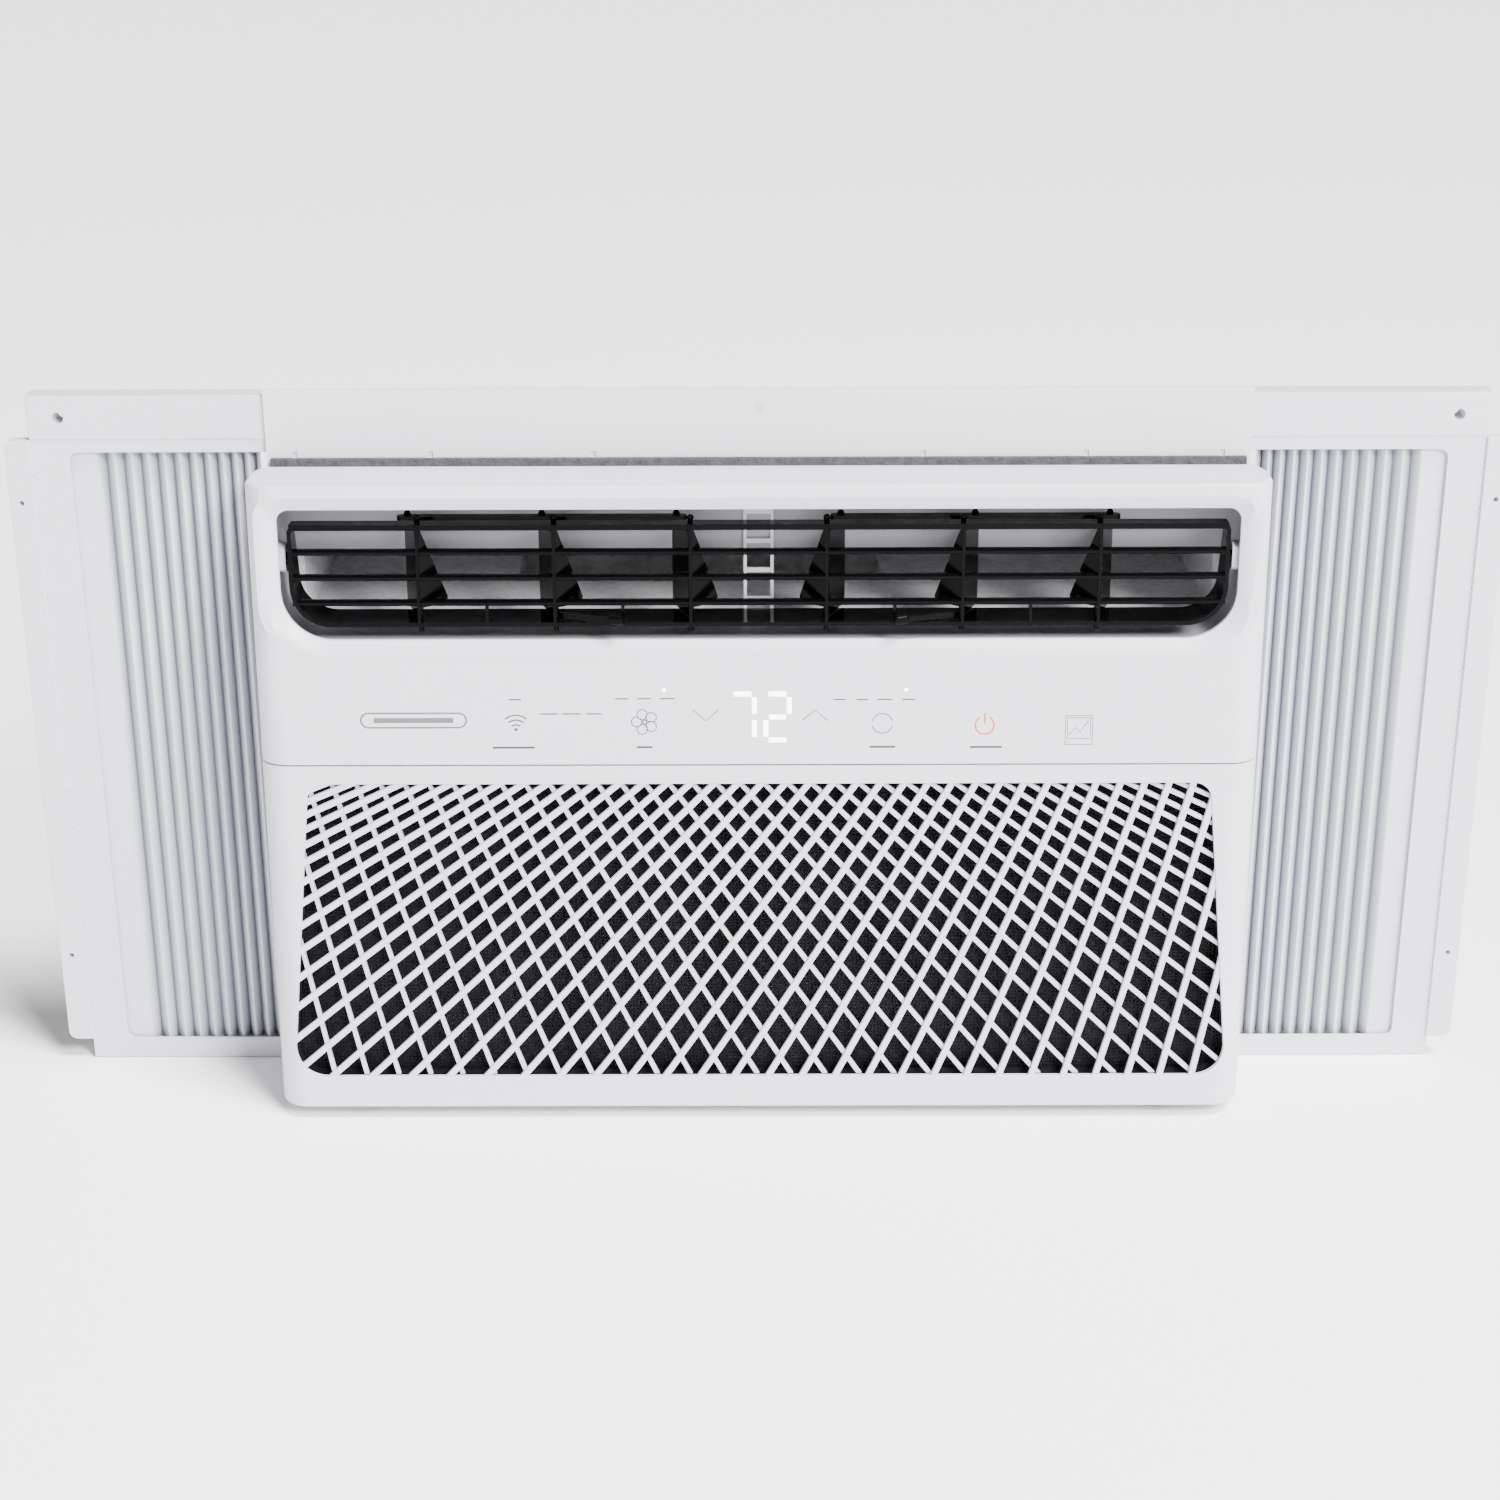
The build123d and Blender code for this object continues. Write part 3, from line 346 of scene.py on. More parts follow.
FIN_RIPPLE = 0.35 * MM
FIN_SHEET = 0.14 * MM
FIN_WAVES = 8
# The room-side coil's fins are coloured dark grey as painted shade behind the grille; the outdoor coil's fins
# keep the metal's grey.
for coil, spacing, metal in (("evaporator", 1.5 * MM, fin_metal("shade_darkened_fins", (0.13, 0.14, 0.15))),
                             ("condenser", 1.6 * MM, fin_metal("dusty_fins", (0.60, 0.61, 0.62)))):
    low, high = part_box(f"{coil}_fins")
    bpy.ops.object.select_all(action="DESELECT")
    bpy.ops.mesh.primitive_grid_add(x_subdivisions=1, y_subdivisions=FIN_WAVES, size=1,
                                    rotation=(0, radians(90), 0))
    fin = bpy.context.active_object
    fin.name = f"{coil}_fin_pack"
    fin.location = (low.x + spacing, (low.y + high.y) / 2, (low.z + high.z) / 2)
    fin.scale = (high.z - low.z, high.y - low.y, 1)
    bpy.ops.object.transform_apply(location=True, rotation=True, scale=True)
    column = (high.y - low.y) / FIN_WAVES
    mark(fin, "VERT", lambda co: round((co.y - low.y) / column) % 2 == 1)
    bpy.ops.transform.translate(value=(FIN_RIPPLE, 0, 0))
    bpy.ops.object.mode_set(mode="OBJECT")
    work(fin, "SOLIDIFY", thickness=FIN_SHEET)
    work(fin, "ARRAY", count=int((high.x - low.x) / spacing) - 1, use_relative_offset=False,
         use_constant_offset=True, constant_offset_displace=(spacing, 0, 0))
    settle(fin, "cabinet", metal, "fin_aluminium", f"{coil}_fins")


# ---- Air channel, blower and outdoor fan ---------------------------------------------------------
# The room side's casing is moulded from white bead foam. Both fans are glass-filled plastic on the motor's
# steel shaft.
def bead_foam(name, colour):
    material, tree, shader = build_material(name, colour, 0.78)
    shader.inputs["Specular IOR Level"].default_value = 0.2
    vary_colour(tree, shader, cells(tree, 260, "Distance"), colour, [c * 0.86 for c in colour], 0.45, 0.95)
    vary_roughness(tree, shader, noise(tree, 90, 3), 0.7, 0.86)
    raise_grain(tree, shader, cells(tree, 260, "Distance"), -0.25 * MM, 0.7)
    return material


def moulded_plastic(name, colour, roughness, grain=0.02 * MM, tint=0.012, coat=0.0, shine=0.5):
    """Satin moulding: spark-eroded grain, slow changes of gloss, a little cloudiness."""
    material, tree, shader = build_material(name, colour, roughness)
    shader.inputs["Coat Weight"].default_value = coat
    shader.inputs["Coat Roughness"].default_value = 0.1
    shader.inputs["Specular IOR Level"].default_value = shine
    vary_roughness(tree, shader, noise(tree, 9, 5), roughness - 0.05, roughness + 0.07)
    lighter = [min(1.0, c * (1 + tint)) for c in colour]
    vary_colour(tree, shader, noise(tree, 4, 6), [c * (1 - tint) for c in colour], lighter)
    raise_grain(tree, shader, noise(tree, 1400, 2), grain, 0.3)
    return material


def turned_steel(name):
    material, tree, shader = build_material(name, (0.58, 0.58, 0.60), 0.26, 1.0)
    vary_roughness(tree, shader, noise(tree, 60, 4), 0.18, 0.4)
    vary_colour(tree, shader, noise(tree, 40, 4), (0.48, 0.48, 0.50), (0.64, 0.64, 0.66))
    raise_grain(tree, shader, noise(tree, 900, 2, (0.08, 1, 1)), 0.02 * MM, 0.3)
    return material


give(bead_foam("bead_foam", (0.80, 0.80, 0.82)), "air_channel")
fan_plastic = moulded_plastic("fan_plastic", (0.05, 0.05, 0.055), 0.5, 0.05 * MM, 0.2)
give(fan_plastic, "blower_wheel", "axial_fan")
bright_steel = turned_steel("bright_steel")
give(bright_steel, "motor_shaft")
soften(0.3 * MM, "blower_wheel", "motor_shaft")
soften(0.5 * MM, "axial_fan", segments=3)


# ---- Electrics -----------------------------------------------------------------------------------
# Green circuit board behind the touch legends, the digit block beside it, and the fan capacitor in its can.
def circuit_board(name):
    material, tree, shader = build_material(name, (0.02, 0.14, 0.06), 0.35)
    shader.inputs["Coat Weight"].default_value = 0.3
    vary_colour(tree, shader, cells(tree, 420), (0.012, 0.10, 0.045), (0.03, 0.20, 0.08), 0.2, 0.8)
    vary_roughness(tree, shader, noise(tree, 120, 3), 0.28, 0.46)
    raise_grain(tree, shader, cells(tree, 420, "Distance"), 0.05 * MM, 0.5)
    return material


give(circuit_board("circuit_board"), "control_board")
give(moulded_plastic("display_body", (0.75, 0.75, 0.76), 0.4), "display_module")
spun_can = fin_metal("spun_can", (0.66, 0.67, 0.68))
give(spun_can, "capacitor")
soften(0.25 * MM, "display_module", "control_board")


# ---- Cabinet sleeve and rear guard ---------------------------------------------------------------
# The wrap-round sleeve is pre-painted steel sheet with lanced air slots. The condenser is covered by a wire
# guard welded to a flat rim and painted with it.
sleeve_paint = painted_steel("sleeve_paint", (0.70, 0.71, 0.72), 0.4)
give(sleeve_paint, "cabinet_shell", "rear_guard")
soften(0.3 * MM, "cabinet_shell")
soften(0.7 * MM, "rear_guard", segments=3)


# ---- Screws --------------------------------------------------------------------------------------
# Zinc-plated pan-head screws with a cross recess. Eight hold the sleeve to the base, and three hold the rail
# on top of it.
HEAD_RADIUS, HEAD_RISE = 4.2 * MM, 2.4 * MM
SHANK_RADIUS, SHANK_LENGTH = 2.0 * MM, 3.4 * MM
RECESS_FLOOR = 1.1 * MM


def pan_head_screw(name, place, turn):
    """Domed head on a short shank, with two crossing slots cut in its top."""
    bpy.ops.object.select_all(action="DESELECT")
    bpy.ops.mesh.primitive_cylinder_add(vertices=24, radius=HEAD_RADIUS, depth=HEAD_RISE,
                                        location=(0, 0, HEAD_RISE / 2))
    head = bpy.context.active_object
    bpy.ops.object.transform_apply(location=True)
    mark(head, "FACE", lambda co: co.z > HEAD_RISE * 0.99)
    bpy.ops.mesh.bevel(offset=1.2 * MM, segments=3, affect="EDGES")
    mark(head, "FACE", lambda co: co.z < 0.01 * MM)
    bpy.ops.mesh.inset(thickness=HEAD_RADIUS - SHANK_RADIUS)
    bpy.ops.mesh.extrude_region_move(TRANSFORM_OT_translate={"value": (0, 0, -SHANK_LENGTH)})
    bpy.ops.object.mode_set(mode="OBJECT")
    for across, along in ((0.5, 2.1), (2.1, 0.5)):
        slot_low = (-across * MM, -along * MM, RECESS_FLOOR)
        cutter = add_box("cutter", slot_low, (across * MM, along * MM, 2 * HEAD_RISE))
        work(head, "BOOLEAN", object=cutter, operation="DIFFERENCE", solver="EXACT")
        bpy.data.objects.remove(cutter)
    head.matrix_world = Matrix.Translation(place) @ turn.to_4x4()
    select_only(head)
    bpy.ops.object.transform_apply(location=True, rotation=True)
    bpy.ops.object.shade_smooth_by_angle(angle=radians(32))
    head.name = name
    return head


low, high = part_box("rail_screws")
seat = high.z - HEAD_RISE
heads = [pan_head_screw("rail_screw", (x, (low.y + high.y) / 2, seat), Matrix.Rotation(x * 9, 3, "Z"))
         for x in (low.x + HEAD_RADIUS, 0, high.x - HEAD_RADIUS)]
settle(join_pieces(heads, "rail_screw_set"), "cabinet", bright_steel, "screw_steel", "rail_screws")

low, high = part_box("cabinet_screws")
heads = []
for side in (-1, 1):
    for y in (low.y + HEAD_RADIUS, high.y - HEAD_RADIUS):
        for z in (low.z + HEAD_RADIUS, high.z - HEAD_RADIUS):
            place = (side * (high.x - HEAD_RISE), y, z)
            turn = Matrix.Rotation(side * pi / 2, 3, "Y") @ Matrix.Rotation(y * 20 + z * 11, 3, "Z")
            heads.append(pan_head_screw("sleeve_screw", place, turn))
settle(join_pieces(heads, "sleeve_screw_set"), "cabinet", bright_steel, "screw_steel", "cabinet_screws")


# ---- Top rail and foam seal ----------------------------------------------------------------------
# A folded steel rail, powder coated white, is screwed across the cabinet's top, with a hole for the sash
# screw. Grey open-cell foam closes the gap under it.
def open_foam(name, colour):
    material, tree, shader = build_material(name, colour, 0.9)
    shader.inputs["Specular IOR Level"].default_value = 0.15
    vary_colour(tree, shader, noise(tree, 240, 4), [c * 0.55 for c in colour], colour, 0.3, 0.7)
    vary_roughness(tree, shader, noise(tree, 90, 3), 0.82, 0.96)
    raise_grain(tree, shader, cells(tree, 900, "Distance"), 0.4 * MM, 0.9)
    return material


rail_paint = painted_steel("rail_paint", (0.63, 0.63, 0.665), 0.4, 0.02 * MM, 0.012)
give(rail_paint, "top_rail")
soften(0.35 * MM, "top_rail")
give(open_foam("grey_foam", (0.08, 0.08, 0.09)), "top_seal")


# ---- Side curtain frames -------------------------------------------------------------------------
# Each curtain slides in and out on a white moulded frame. A header and an outer flange stand proud of the
# frame, with small gate marks along their steps. The window screws go through the header and the flange.
white_plastic = moulded_plastic("white_plastic", (0.60, 0.60, 0.65), 0.38, 0.02 * MM, 0.008, 0.06)
give(white_plastic, "left_curtain_frame", "right_curtain_frame")
give(white_plastic, "left_retainer", "right_retainer", "bottom_guide")
soften(0.5 * MM, "left_curtain_frame", "right_curtain_frame", segments=3)
soften(0.4 * MM, "left_retainer", "right_retainer", "bottom_guide")

CORNER = 4.5 * MM
FLANGE_WIDTH, FLANGE_LOW, FLANGE_HIGH = 12.6 * MM, 11.3 * MM, 334.1 * MM
FLANGE_PROUD, FLANGE_BACK = 1.6 * MM, 2.2 * MM
HEADER_START, HEADER_END, HEADER_LOW = 128 * MM, 349.2 * MM, 334.4 * MM
HEADER_PROUD = 0.35 * MM
OPENING_END, OPENING_LOW, OPENING_HIGH = 331 * MM, 11.2 * MM, 327.8 * MM
GATE_LENGTH, GATE_SPACING = 0.8 * MM, 20.5 * MM
DRILL_LENGTH = 20 * MM


def beside(side, x0, x1, y0, y1, z0, z1):
    """Corners of a box on one side, measured from the middle of the cabinet outwards."""
    xs = sorted((side * x0, side * x1))
    return (xs[0], y0, z0), (xs[1], y1, z1)


def proud_plate(name, corners, rounded):
    """Flat plate with its named corners rounded and every edge eased."""
    plate = add_box(name, *corners)
    mark(plate, "EDGE", rounded)
    bpy.ops.mesh.bevel(offset=CORNER, segments=8, affect="EDGES")
    bpy.ops.object.mode_set(mode="OBJECT")
    work(plate, "BEVEL", width=0.5 * MM, segments=3, limit_method="ANGLE", angle_limit=radians(50))
    return plate


def drill_through(piece, place, radius, vertices=32):
    """Cuts a round hole from front to back."""
    bpy.ops.object.select_all(action="DESELECT")
    bpy.ops.mesh.primitive_cylinder_add(vertices=vertices, radius=radius, depth=DRILL_LENGTH, location=place,
                                        rotation=(pi / 2, 0, 0))
    drill = bpy.context.active_object
    work(piece, "BOOLEAN", object=drill, operation="DIFFERENCE", solver="EXACT")
    bpy.data.objects.remove(drill)


low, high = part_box("right_curtain_frame")
rail_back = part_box("top_rail")[0].y + 1.6 * MM
flange_start = high.x - FLANGE_WIDTH
for side, name in ((-1, "left"), (1, "right")):
    flange_box = beside(side, flange_start, high.x, low.y - FLANGE_PROUD, low.y + FLANGE_BACK,
                        FLANGE_LOW, FLANGE_HIGH)
    flange_middle = low.y + (FLANGE_BACK - FLANGE_PROUD) / 2
    flange = proud_plate(f"{name}_flange_face", flange_box,
                         lambda co: abs(co.x) > high.x - 1 * MM and abs(co.y - flange_middle) < 0.2 * MM)
    header_box = beside(side, HEADER_START, HEADER_END, rail_back + 0.25 * MM, low.y + 0.2 * MM,
                        HEADER_LOW, high.z - 0.1 * MM)
    header = proud_plate(f"{name}_header_face", header_box,
                         lambda co: abs(co.x) > HEADER_END - 0.2 * MM and co.z > high.z - 1 * MM)
    drill_through(header, (side * 334.4 * MM, low.y, 345 * MM), 2.75 * MM)
    for height in (303 * MM, 60 * MM):
        drill_through(flange, (side * 355.6 * MM, low.y, height), 1.3 * MM)

    gates = []
    for k in range(15):
        z = 30 * MM + GATE_SPACING * k
        gate_box = beside(side, 347.6 * MM, 349.0 * MM, low.y - 0.9 * MM, low.y + 0.3 * MM,
                          z, z + GATE_LENGTH)
        gates.append(add_box("gate", *gate_box))
    for k in range(10):
        x = 140 * MM + GATE_SPACING * k
        gate_box = beside(side, x, x + GATE_LENGTH, low.y - HEADER_PROUD, low.y + 0.3 * MM,
                          HEADER_LOW - 1 * MM, HEADER_LOW)
        gates.append(add_box("gate", *gate_box))
    gate_marks = join_pieces(gates, f"{name}_gate_marks")
    work(gate_marks, "BEVEL", width=0.15 * MM, segments=1)

    for end, edge, up in (("top", OPENING_HIGH, -1), ("bottom", OPENING_LOW, 1)):
        heights = sorted((edge - up * 0.2 * MM, edge + up * CORNER))
        corner_box = beside(side, OPENING_END - CORNER, OPENING_END + 0.2 * MM, low.y + 0.05 * MM,
                            low.y + 1.55 * MM, *heights)
        corner = add_box(f"{name}_opening_corner_{end}", *corner_box)
        drill_through(corner, (side * (OPENING_END - CORNER), low.y, edge + up * CORNER), CORNER, 48)
        settle(corner, f"{name}_curtain", white_plastic, "curtain_plastic")
    for piece in (flange, header, gate_marks):
        settle(piece, f"{name}_curtain", white_plastic, "curtain_plastic")


# ---- Pleated curtains ----------------------------------------------------------------------------
# A sheet of white vinyl in standing folds runs from the channel on the cabinet to the frame's outer stile.
# The folds are wider towards the stile, and the sheet's edges are glued in. It is folded up edge by edge,
# then given its thickness.
def vinyl_painted_valley_shade(name, ridge, valley):
    """Thin white sheet with painted shade: bright along each ridge, darkened to blue-grey down in each valley
    where shade falls.
    """
    material, tree, shader = build_material(name, (0.46, 0.47, 0.51), 0.46)
    shader.inputs["Sheen Weight"].default_value = 0.05
    vary_roughness(tree, shader, noise(tree, 25, 4, (1, 1, 0.15)), 0.38, 0.56)
    across_fold = tree.nodes.new("ShaderNodeSeparateXYZ")
    tree.links.new(object_place(tree), across_fold.inputs["Vector"])
    # Painted shade: the colour darkens with depth, from the front ridges back into the valleys.
    depth = tree.nodes.new("ShaderNodeMapRange")
    depth.inputs["From Min"].default_value = ridge
    depth.inputs["From Max"].default_value = valley
    tree.links.new(across_fold.outputs["Y"], depth.inputs["Value"])
    vary_colour(tree, shader, depth.outputs["Result"], (0.60, 0.61, 0.65), (0.20, 0.215, 0.265), 0.0, 1.0)
    raise_grain(tree, shader, noise(tree, 300, 3, (1, 1, 0.25)), 0.06 * MM, 0.35)
    return material


FOLDS = 11
FOLD_GROWTH = 0.052
FACING_SHARE = 0.62
FLAT_END = 318.5 * MM
SHEET = 0.5 * MM
low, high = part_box("left_bellows")
front, back = low.y + 0.4 * MM, high.y - 0.4 * MM
vinyl = vinyl_painted_valley_shade("vinyl_painted_valley_shade", front, back)
for side, name in ((-1, "left"), (1, "right")):
    low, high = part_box(f"{name}_bellows")
    inner, outer = sorted((abs(low.x), abs(high.x)))
    foot, head = low.z - 4.5 * MM, high.z + 6 * MM
    middle_z = (foot + head) / 2
    weights = [1 + FOLD_GROWTH * k for k in range(FOLDS)]
    share = (FLAT_END - inner) / sum(weights)
    steps = []
    for weight in weights:
        steps.append((FACING_SHARE * share * weight, back - front))
        steps.append(((1 - FACING_SHARE) * share * weight, front - back))
    steps += [(0.5 * MM, 0), (outer - FLAT_END - 0.5 * MM, 0.8 * MM)]
    # The plane is squeezed to one upright edge, which is then drawn out fold by fold.
    bpy.ops.object.select_all(action="DESELECT")
    bpy.ops.mesh.primitive_plane_add(size=1, rotation=(pi / 2, 0, 0),
                                     location=(side * inner, front, middle_z))
    sheet = bpy.context.active_object
    sheet.name = f"{name}_pleated_curtain"
    sheet.scale = (0.0001 * MM, head - foot, 1)
    bpy.ops.object.transform_apply(location=True, rotation=True, scale=True)
    bpy.ops.object.mode_set(mode="EDIT")
    bpy.ops.mesh.select_mode(type="EDGE")
    bpy.ops.mesh.select_all(action="SELECT")
    bpy.ops.mesh.remove_doubles(threshold=0.01 * MM)
    bpy.ops.mesh.select_all(action="SELECT")
    for dx, dy in steps:
        bpy.ops.mesh.extrude_region_move(TRANSFORM_OT_translate={"value": (side * dx, dy, 0)})
    inner_end, outer_end = inner + 0.3 * MM, outer - 0.3 * MM
    mark(sheet, "EDGE", lambda co: inner_end < abs(co.x) < outer_end and abs(co.z - middle_z) < 1 * MM
         and (abs(co.y - front) < 0.1 * MM or abs(co.y - back) < 0.1 * MM))
    bpy.ops.mesh.bevel(offset=0.5 * MM, segments=3, affect="EDGES")
    bpy.ops.mesh.select_all(action="SELECT")
    bpy.ops.mesh.normals_make_consistent(inside=False)
    bpy.ops.object.mode_set(mode="OBJECT")
    work(sheet, "SOLIDIFY", thickness=SHEET, offset=0)
    bpy.ops.object.shade_smooth_by_angle(angle=radians(40))
    settle(sheet, None, vinyl, "bellows_vinyl", f"{name}_bellows")
    ends = [(side * x, front, middle_z) for x in (inner, outer)]
    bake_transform(sheet)


# ---- Plastic front -------------------------------------------------------------------------------
# Injection-moulded white fascia with a soft dish round the air outlet, on a fixed chassis. Behind the dish
# are the open nozzle and the ladder-shaped brace in its middle.
give(white_plastic, "front_chassis", "front_panel")
# The nozzle's light moulding is coloured mid grey as painted shade inside the outlet.
give(moulded_plastic("nozzle_plastic_painted_shade", (0.40, 0.40, 0.43), 0.46, 0.03 * MM, 0.02), "outlet_duct")
give(moulded_plastic("brace_plastic", (0.82, 0.82, 0.85), 0.36), "duct_divider")
soften(0.5 * MM, "front_chassis", "front_panel", segments=3)
soften(0.35 * MM, "outlet_duct", "duct_divider")


# ---- Touch legends -------------------------------------------------------------------------------
# Thin printed marks on the fascia above the touch pads: a wireless mark, a fan, two chevrons, a cycle ring, a
# power mark, a plain nameplate and a plain rating box. Words are printed only as short bars. Each is a
# flattened line laid on the leaning face.
hinge = next(joint for joint in frame["joints"] if joint["name"] == "grille_tilt")
FACE_SETBACK, FACE_HEIGHT = 18.9, 318.8
LEAN = asin(FACE_SETBACK / FACE_HEIGHT)
HINGE_DEPTH = HINGE_HEIGHT = 7 * MM


def face_frame():
    """Leans upright work, drawn as (x, depth, height up the face), back onto the face."""
    lean = Matrix.Rotation(-LEAN, 4, "X")
    return Matrix.Translation(Vector(hinge["pos_m"]) - lean @ Vector((0, HINGE_DEPTH, HINGE_HEIGHT))) @ lean


def arc(middle_x, middle_z, radius, start, end, count=20):
    """Points of an arc; angles in degrees, anticlockwise from the right."""
    turns = [radians(start + (end - start) * k / count) for k in range(count + 1)]
    return [(middle_x + radius * cos(a), middle_z + radius * sin(a)) for a in turns]


def draw_line(points, width, closed=False, proud=0.06):
    """One printed line through (x, height) points in millimetres."""
    curve = bpy.data.curves.new("line", "CURVE")
    curve.dimensions = "3D"
    curve.bevel_depth = width / 2 * MM
    curve.bevel_resolution = 2
    curve.use_fill_caps = True
    line = curve.splines.new("POLY")
    line.points.add(len(points) - 1)
    line.use_cyclic_u = closed
    for point, (x, z) in zip(line.points, points):
        point.co = (x * MM, 0, z * MM, 1)
    piece = bpy.data.objects.new("line", curve)
    bpy.context.scene.collection.objects.link(piece)
    select_only(piece)
    bpy.ops.object.convert(target="MESH")
    piece = bpy.context.active_object
    piece.scale = (1, 2 * proud / width, 1)
    bpy.ops.object.transform_apply(scale=True)
    return piece


def print_ink(name, colour, glow=0.0):
    material, tree, shader = build_material(name, colour, 0.5)
    vary_roughness(tree, shader, noise(tree, 300, 3), 0.42, 0.62)
    vary_colour(tree, shader, noise(tree, 700, 2), colour, [min(1, c * 1.12) for c in colour])
    shader.inputs["Emission Color"].default_value = (*colour, 1)
    shader.inputs["Emission Strength"].default_value = glow
    return material


def place_on_face(lines, name, material, slot):
    piece = join_pieces(lines, name)
    piece.matrix_world = face_frame()
    settle(piece, "cabinet", material, slot)


THIN = 0.5
WIRELESS_X, WIRELESS_Z = -116.1, 199.1
FAN_X, FAN_Z = -54.6, 203.4
RING_X, RING_Z = 58.9, 202.4
POWER_X, POWER_Z = 107.8, 201.4
NAMEPLATE_START, NAMEPLATE_END, NAMEPLATE_Z, NAMEPLATE_ROUND = -186.6, -143.4, 204.4, 3.6
RATING_BOXES = ((146.4, 191.5, 159.4, 206.0), (147.4, 194.5, 158.4, 205.0))
PAD_BARS = ((-127.6, -107.4, 190.6), (-58.6, -51.0, 190.7), (53.0, 65.2, 190.6), (100.9, 116.4, 190.4))
WIRELESS_BAR = ((-119.2, -113.3, 214.7),)
TIMER_BARS = ((-104.6, -95.9, 207.5), (-93.9, -85.1, 207.5), (-82.5, -75.0, 207.5))
SPEED_BARS = ((-68.5, -62.2, 215.0), (-58.0, -51.4, 215.0), (-47.2, -40.1, 215.0))
MODE_BARS = ((35.6, 41.3, 214.4), (46.4, 51.9, 214.4), (56.6, 63.7, 214.4), (68.3, 74.3, 214.4))

lines = [draw_line(arc(WIRELESS_X, WIRELESS_Z, r, 48, 132), THIN + 0.25) for r in (3.0, 5.4, 7.8)]
lines.append(draw_line(arc(WIRELESS_X, WIRELESS_Z + 0.6, 0.45, 0, 360, 12), 0.8, True))
for k in range(5):
    turn = radians(72 * k + 14)
    vane = [(1.2, 0), *arc(3.6, 1.4, 2.5, -70, 150, 12), (1.2, 0)]
    turned = [(FAN_X + x * cos(turn) - z * sin(turn), FAN_Z + x * sin(turn) + z * cos(turn)) for x, z in vane]
    lines.append(draw_line(turned, THIN))
lines.append(draw_line(arc(FAN_X, FAN_Z, 1.0, 0, 360, 12), THIN, True))
lines.append(draw_line([(-31.5, 209.4), (-25.4, 203.9), (-19.3, 209.4)], THIN))
lines.append(draw_line([(20.6, 203.9), (26.7, 209.2), (32.8, 203.9)], THIN))
lines += [draw_line(arc(RING_X, RING_Z, 4.9, start, start + 152), THIN) for start in (14, 194)]
for low_x, low_z, high_x, high_z in RATING_BOXES:
    box = [(low_x, low_z), (high_x, low_z), (high_x, high_z), (low_x, high_z)]
    lines.append(draw_line(box, THIN, True))
lines.append(draw_line([(148.2, 196.5), (151.2, 200.1), (153.4, 197.9), (157.4, 203.5)], THIN))
for start, end, height in PAD_BARS:
    lines.append(draw_line([(start, height), (end, height)], 1.1))
for start, end, height in WIRELESS_BAR + TIMER_BARS + SPEED_BARS + MODE_BARS:
    lines.append(draw_line([(start, height), (end, height)], 0.7))
grey_ink = print_ink("grey_ink", (0.045, 0.045, 0.05))
place_on_face(lines, "legend_marks", grey_ink, "fascia_plastic")

plate = arc(NAMEPLATE_END, NAMEPLATE_Z, NAMEPLATE_ROUND, -90, 90, 12)
plate += arc(NAMEPLATE_START, NAMEPLATE_Z, NAMEPLATE_ROUND, 90, 270, 12)
nameplate = [draw_line(plate, 0.9, True), draw_line([(-184, NAMEPLATE_Z), (-146, NAMEPLATE_Z)], 2.6)]
nameplate_grey = print_ink("nameplate_grey", (0.11, 0.11, 0.115))
place_on_face(nameplate, "plain_nameplate", nameplate_grey, "fascia_plastic")

power = [draw_line(arc(POWER_X, POWER_Z, 4.5, 118, 422), 0.8)]
power.append(draw_line([(POWER_X, POWER_Z + 0.7), (POWER_X, POWER_Z + 6.2)], 0.8))
# The orange ink carries a faint painted glow, though the power mark is only print.
orange_ink = print_ink("orange_ink", (0.70, 0.04, 0.01), 0.1)
place_on_face(power, "power_mark", orange_ink, "fascia_plastic")


# ---- Lit digits ----------------------------------------------------------------------------------
# White light segments shine through the fascia: the set temperature, and one dot each over the fan speed and
# mode.
DIGIT_WIDE, DIGIT_TALL, SEGMENT = 11.2, 23.0, 2.5
DIGIT_FOOT = 194.2
DOT_HEIGHT = 219.2
SEGMENTS = {"top": ((0.12, 1), (0.88, 1)), "middle": ((0.14, 0.5), (0.86, 0.5)),
            "bottom": ((0.12, 0), (0.88, 0)), "upper_right": ((1, 0.57), (1, 0.93)),
            "lower_right": ((1, 0.07), (1, 0.43)), "lower_left": ((0, 0.07), (0, 0.43))}
seven = ("top", "upper_right", "lower_right")
two = ("top", "upper_right", "middle", "lower_left", "bottom")
lines = []
for left, digit in ((-13.4, seven), (3.2, two)):
    for segment in digit:
        ends = [(left + x * DIGIT_WIDE, DIGIT_FOOT + z * DIGIT_TALL) for x, z in SEGMENTS[segment]]
        lines.append(draw_line(ends, SEGMENT, proud=0.1))
for x in (-45.2, 70.1):
    lines.append(draw_line(arc(x, DOT_HEIGHT, 0.5, 0, 360, 12), 1.0, True, 0.1))
place_on_face(lines, "lit_digits", print_ink("lit_segments", (1.0, 1.0, 1.0), 5.0), "display_white")


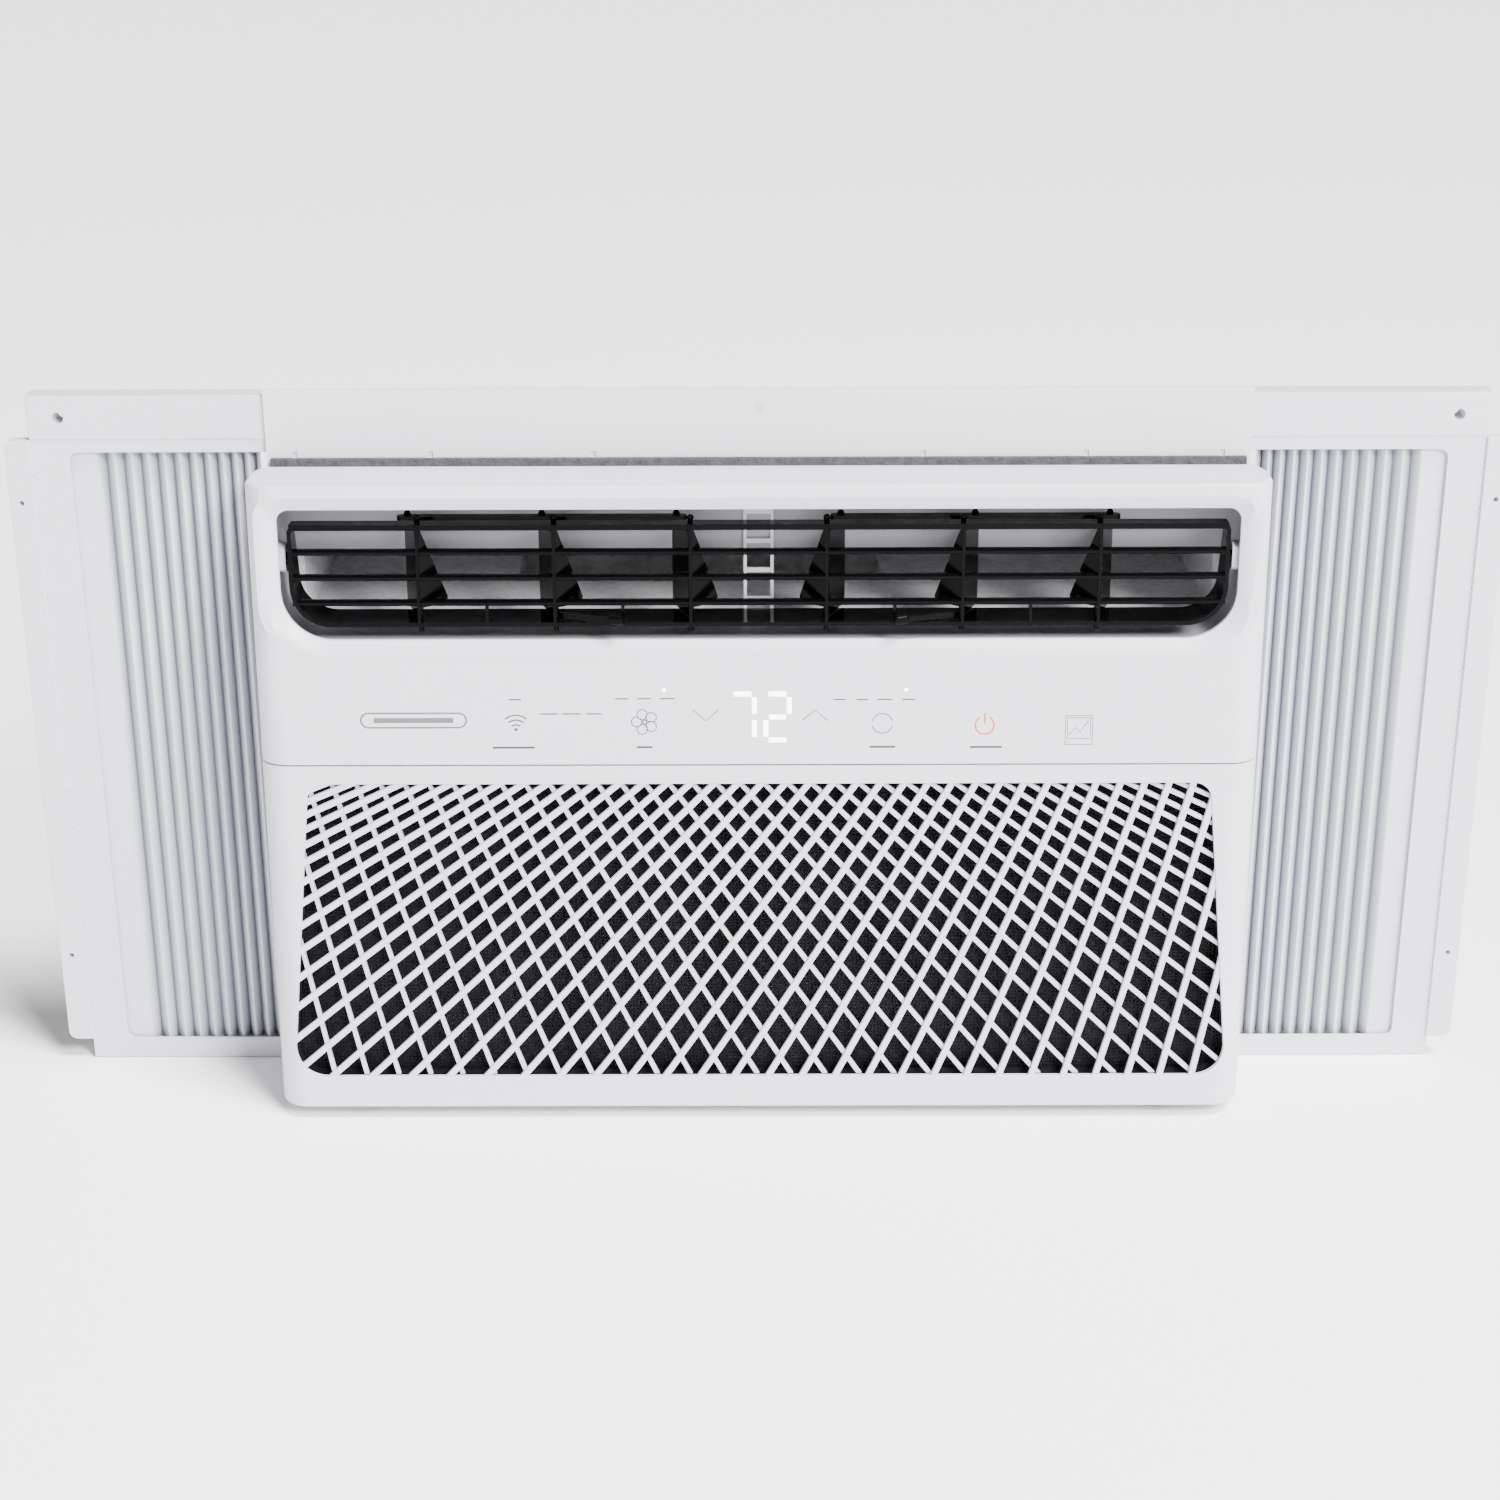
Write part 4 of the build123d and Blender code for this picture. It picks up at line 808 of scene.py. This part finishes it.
# ---- Louver, vanes and link bars -----------------------------------------------------------------
# A glossy black basket tilts in the outlet and carries six upright vanes; flat bars tie three vanes together.
# All are black styrene, polished in the tool.
gloss_black = moulded_plastic("gloss_black", (0.001, 0.001, 0.0012), 0.12, 0.004 * MM, 0.3, 0, 0.05)
vanes = [f"vane_{side}_{k}" for side in ("left", "right") for k in (1, 2, 3)]
give(gloss_black, "louver_frame", "link_left", "link_right", *vanes)
soften(0.35 * MM, "louver_frame", segments=3)
soften(0.22 * MM, "link_left", "link_right", *vanes)


# ---- Intake grille and air filter ----------------------------------------------------------------
# The tilt-out cover carries a diamond lattice of two crossing sets of bars. Behind it sits the washable
# filter: fine dark net stretched over a ribbed black frame.
def woven_net(name, colour):
    """Plain-woven monofilament net: threads stand up from open gaps that let the coil behind show through."""
    material, tree, shader = build_material(name, colour, 0.55)
    shader.inputs["Specular IOR Level"].default_value = 0.1
    threads = []
    for turn in (0, 90):
        wave = tree.nodes.new("ShaderNodeTexWave")
        wave.wave_type = "BANDS"
        wave.bands_direction = "X"
        wave.inputs["Scale"].default_value = 170
        wave.inputs["Distortion"].default_value = 0.3
        wave.inputs["Detail Scale"].default_value = 0.3
        tree.links.new(object_place(tree, turn=(0, radians(turn), 0)), wave.inputs["Vector"])
        threads.append(wave.outputs["Fac"])
    weave = tree.nodes.new("ShaderNodeMath")
    weave.operation = "MAXIMUM"
    tree.links.new(threads[0], weave.inputs[0])
    tree.links.new(threads[1], weave.inputs[1])
    solid = tree.nodes.new("ShaderNodeMapRange")
    solid.inputs["From Min"].default_value = 0.45
    solid.inputs["From Max"].default_value = 0.75
    solid.inputs["To Min"].default_value = 0.72
    tree.links.new(weave.outputs["Value"], solid.inputs["Value"])
    tree.links.new(solid.outputs["Result"], shader.inputs["Alpha"])
    vary_colour(tree, shader, noise(tree, 30, 4), [c * 0.7 for c in colour], [c * 1.5 for c in colour])
    vary_roughness(tree, shader, noise(tree, 80, 3), 0.45, 0.68)
    raise_grain(tree, shader, weave.outputs["Value"], 0.2 * MM, 0.8)
    return material


give(white_plastic, "grille_cover", "lattice_front", "lattice_back")
soften(0.5 * MM, "grille_cover", segments=3)
soften(0.7 * MM, "lattice_front", segments=3)
soften(0.55 * MM, "lattice_back", segments=3)
give(moulded_plastic("filter_plastic", (0.012, 0.012, 0.014), 0.5, 0.05 * MM, 0.2, 0, 0.15), "filter_frame")
give(woven_net("woven_net", (0.005, 0.005, 0.006)), "filter_mesh")
soften(0.3 * MM, "filter_frame")
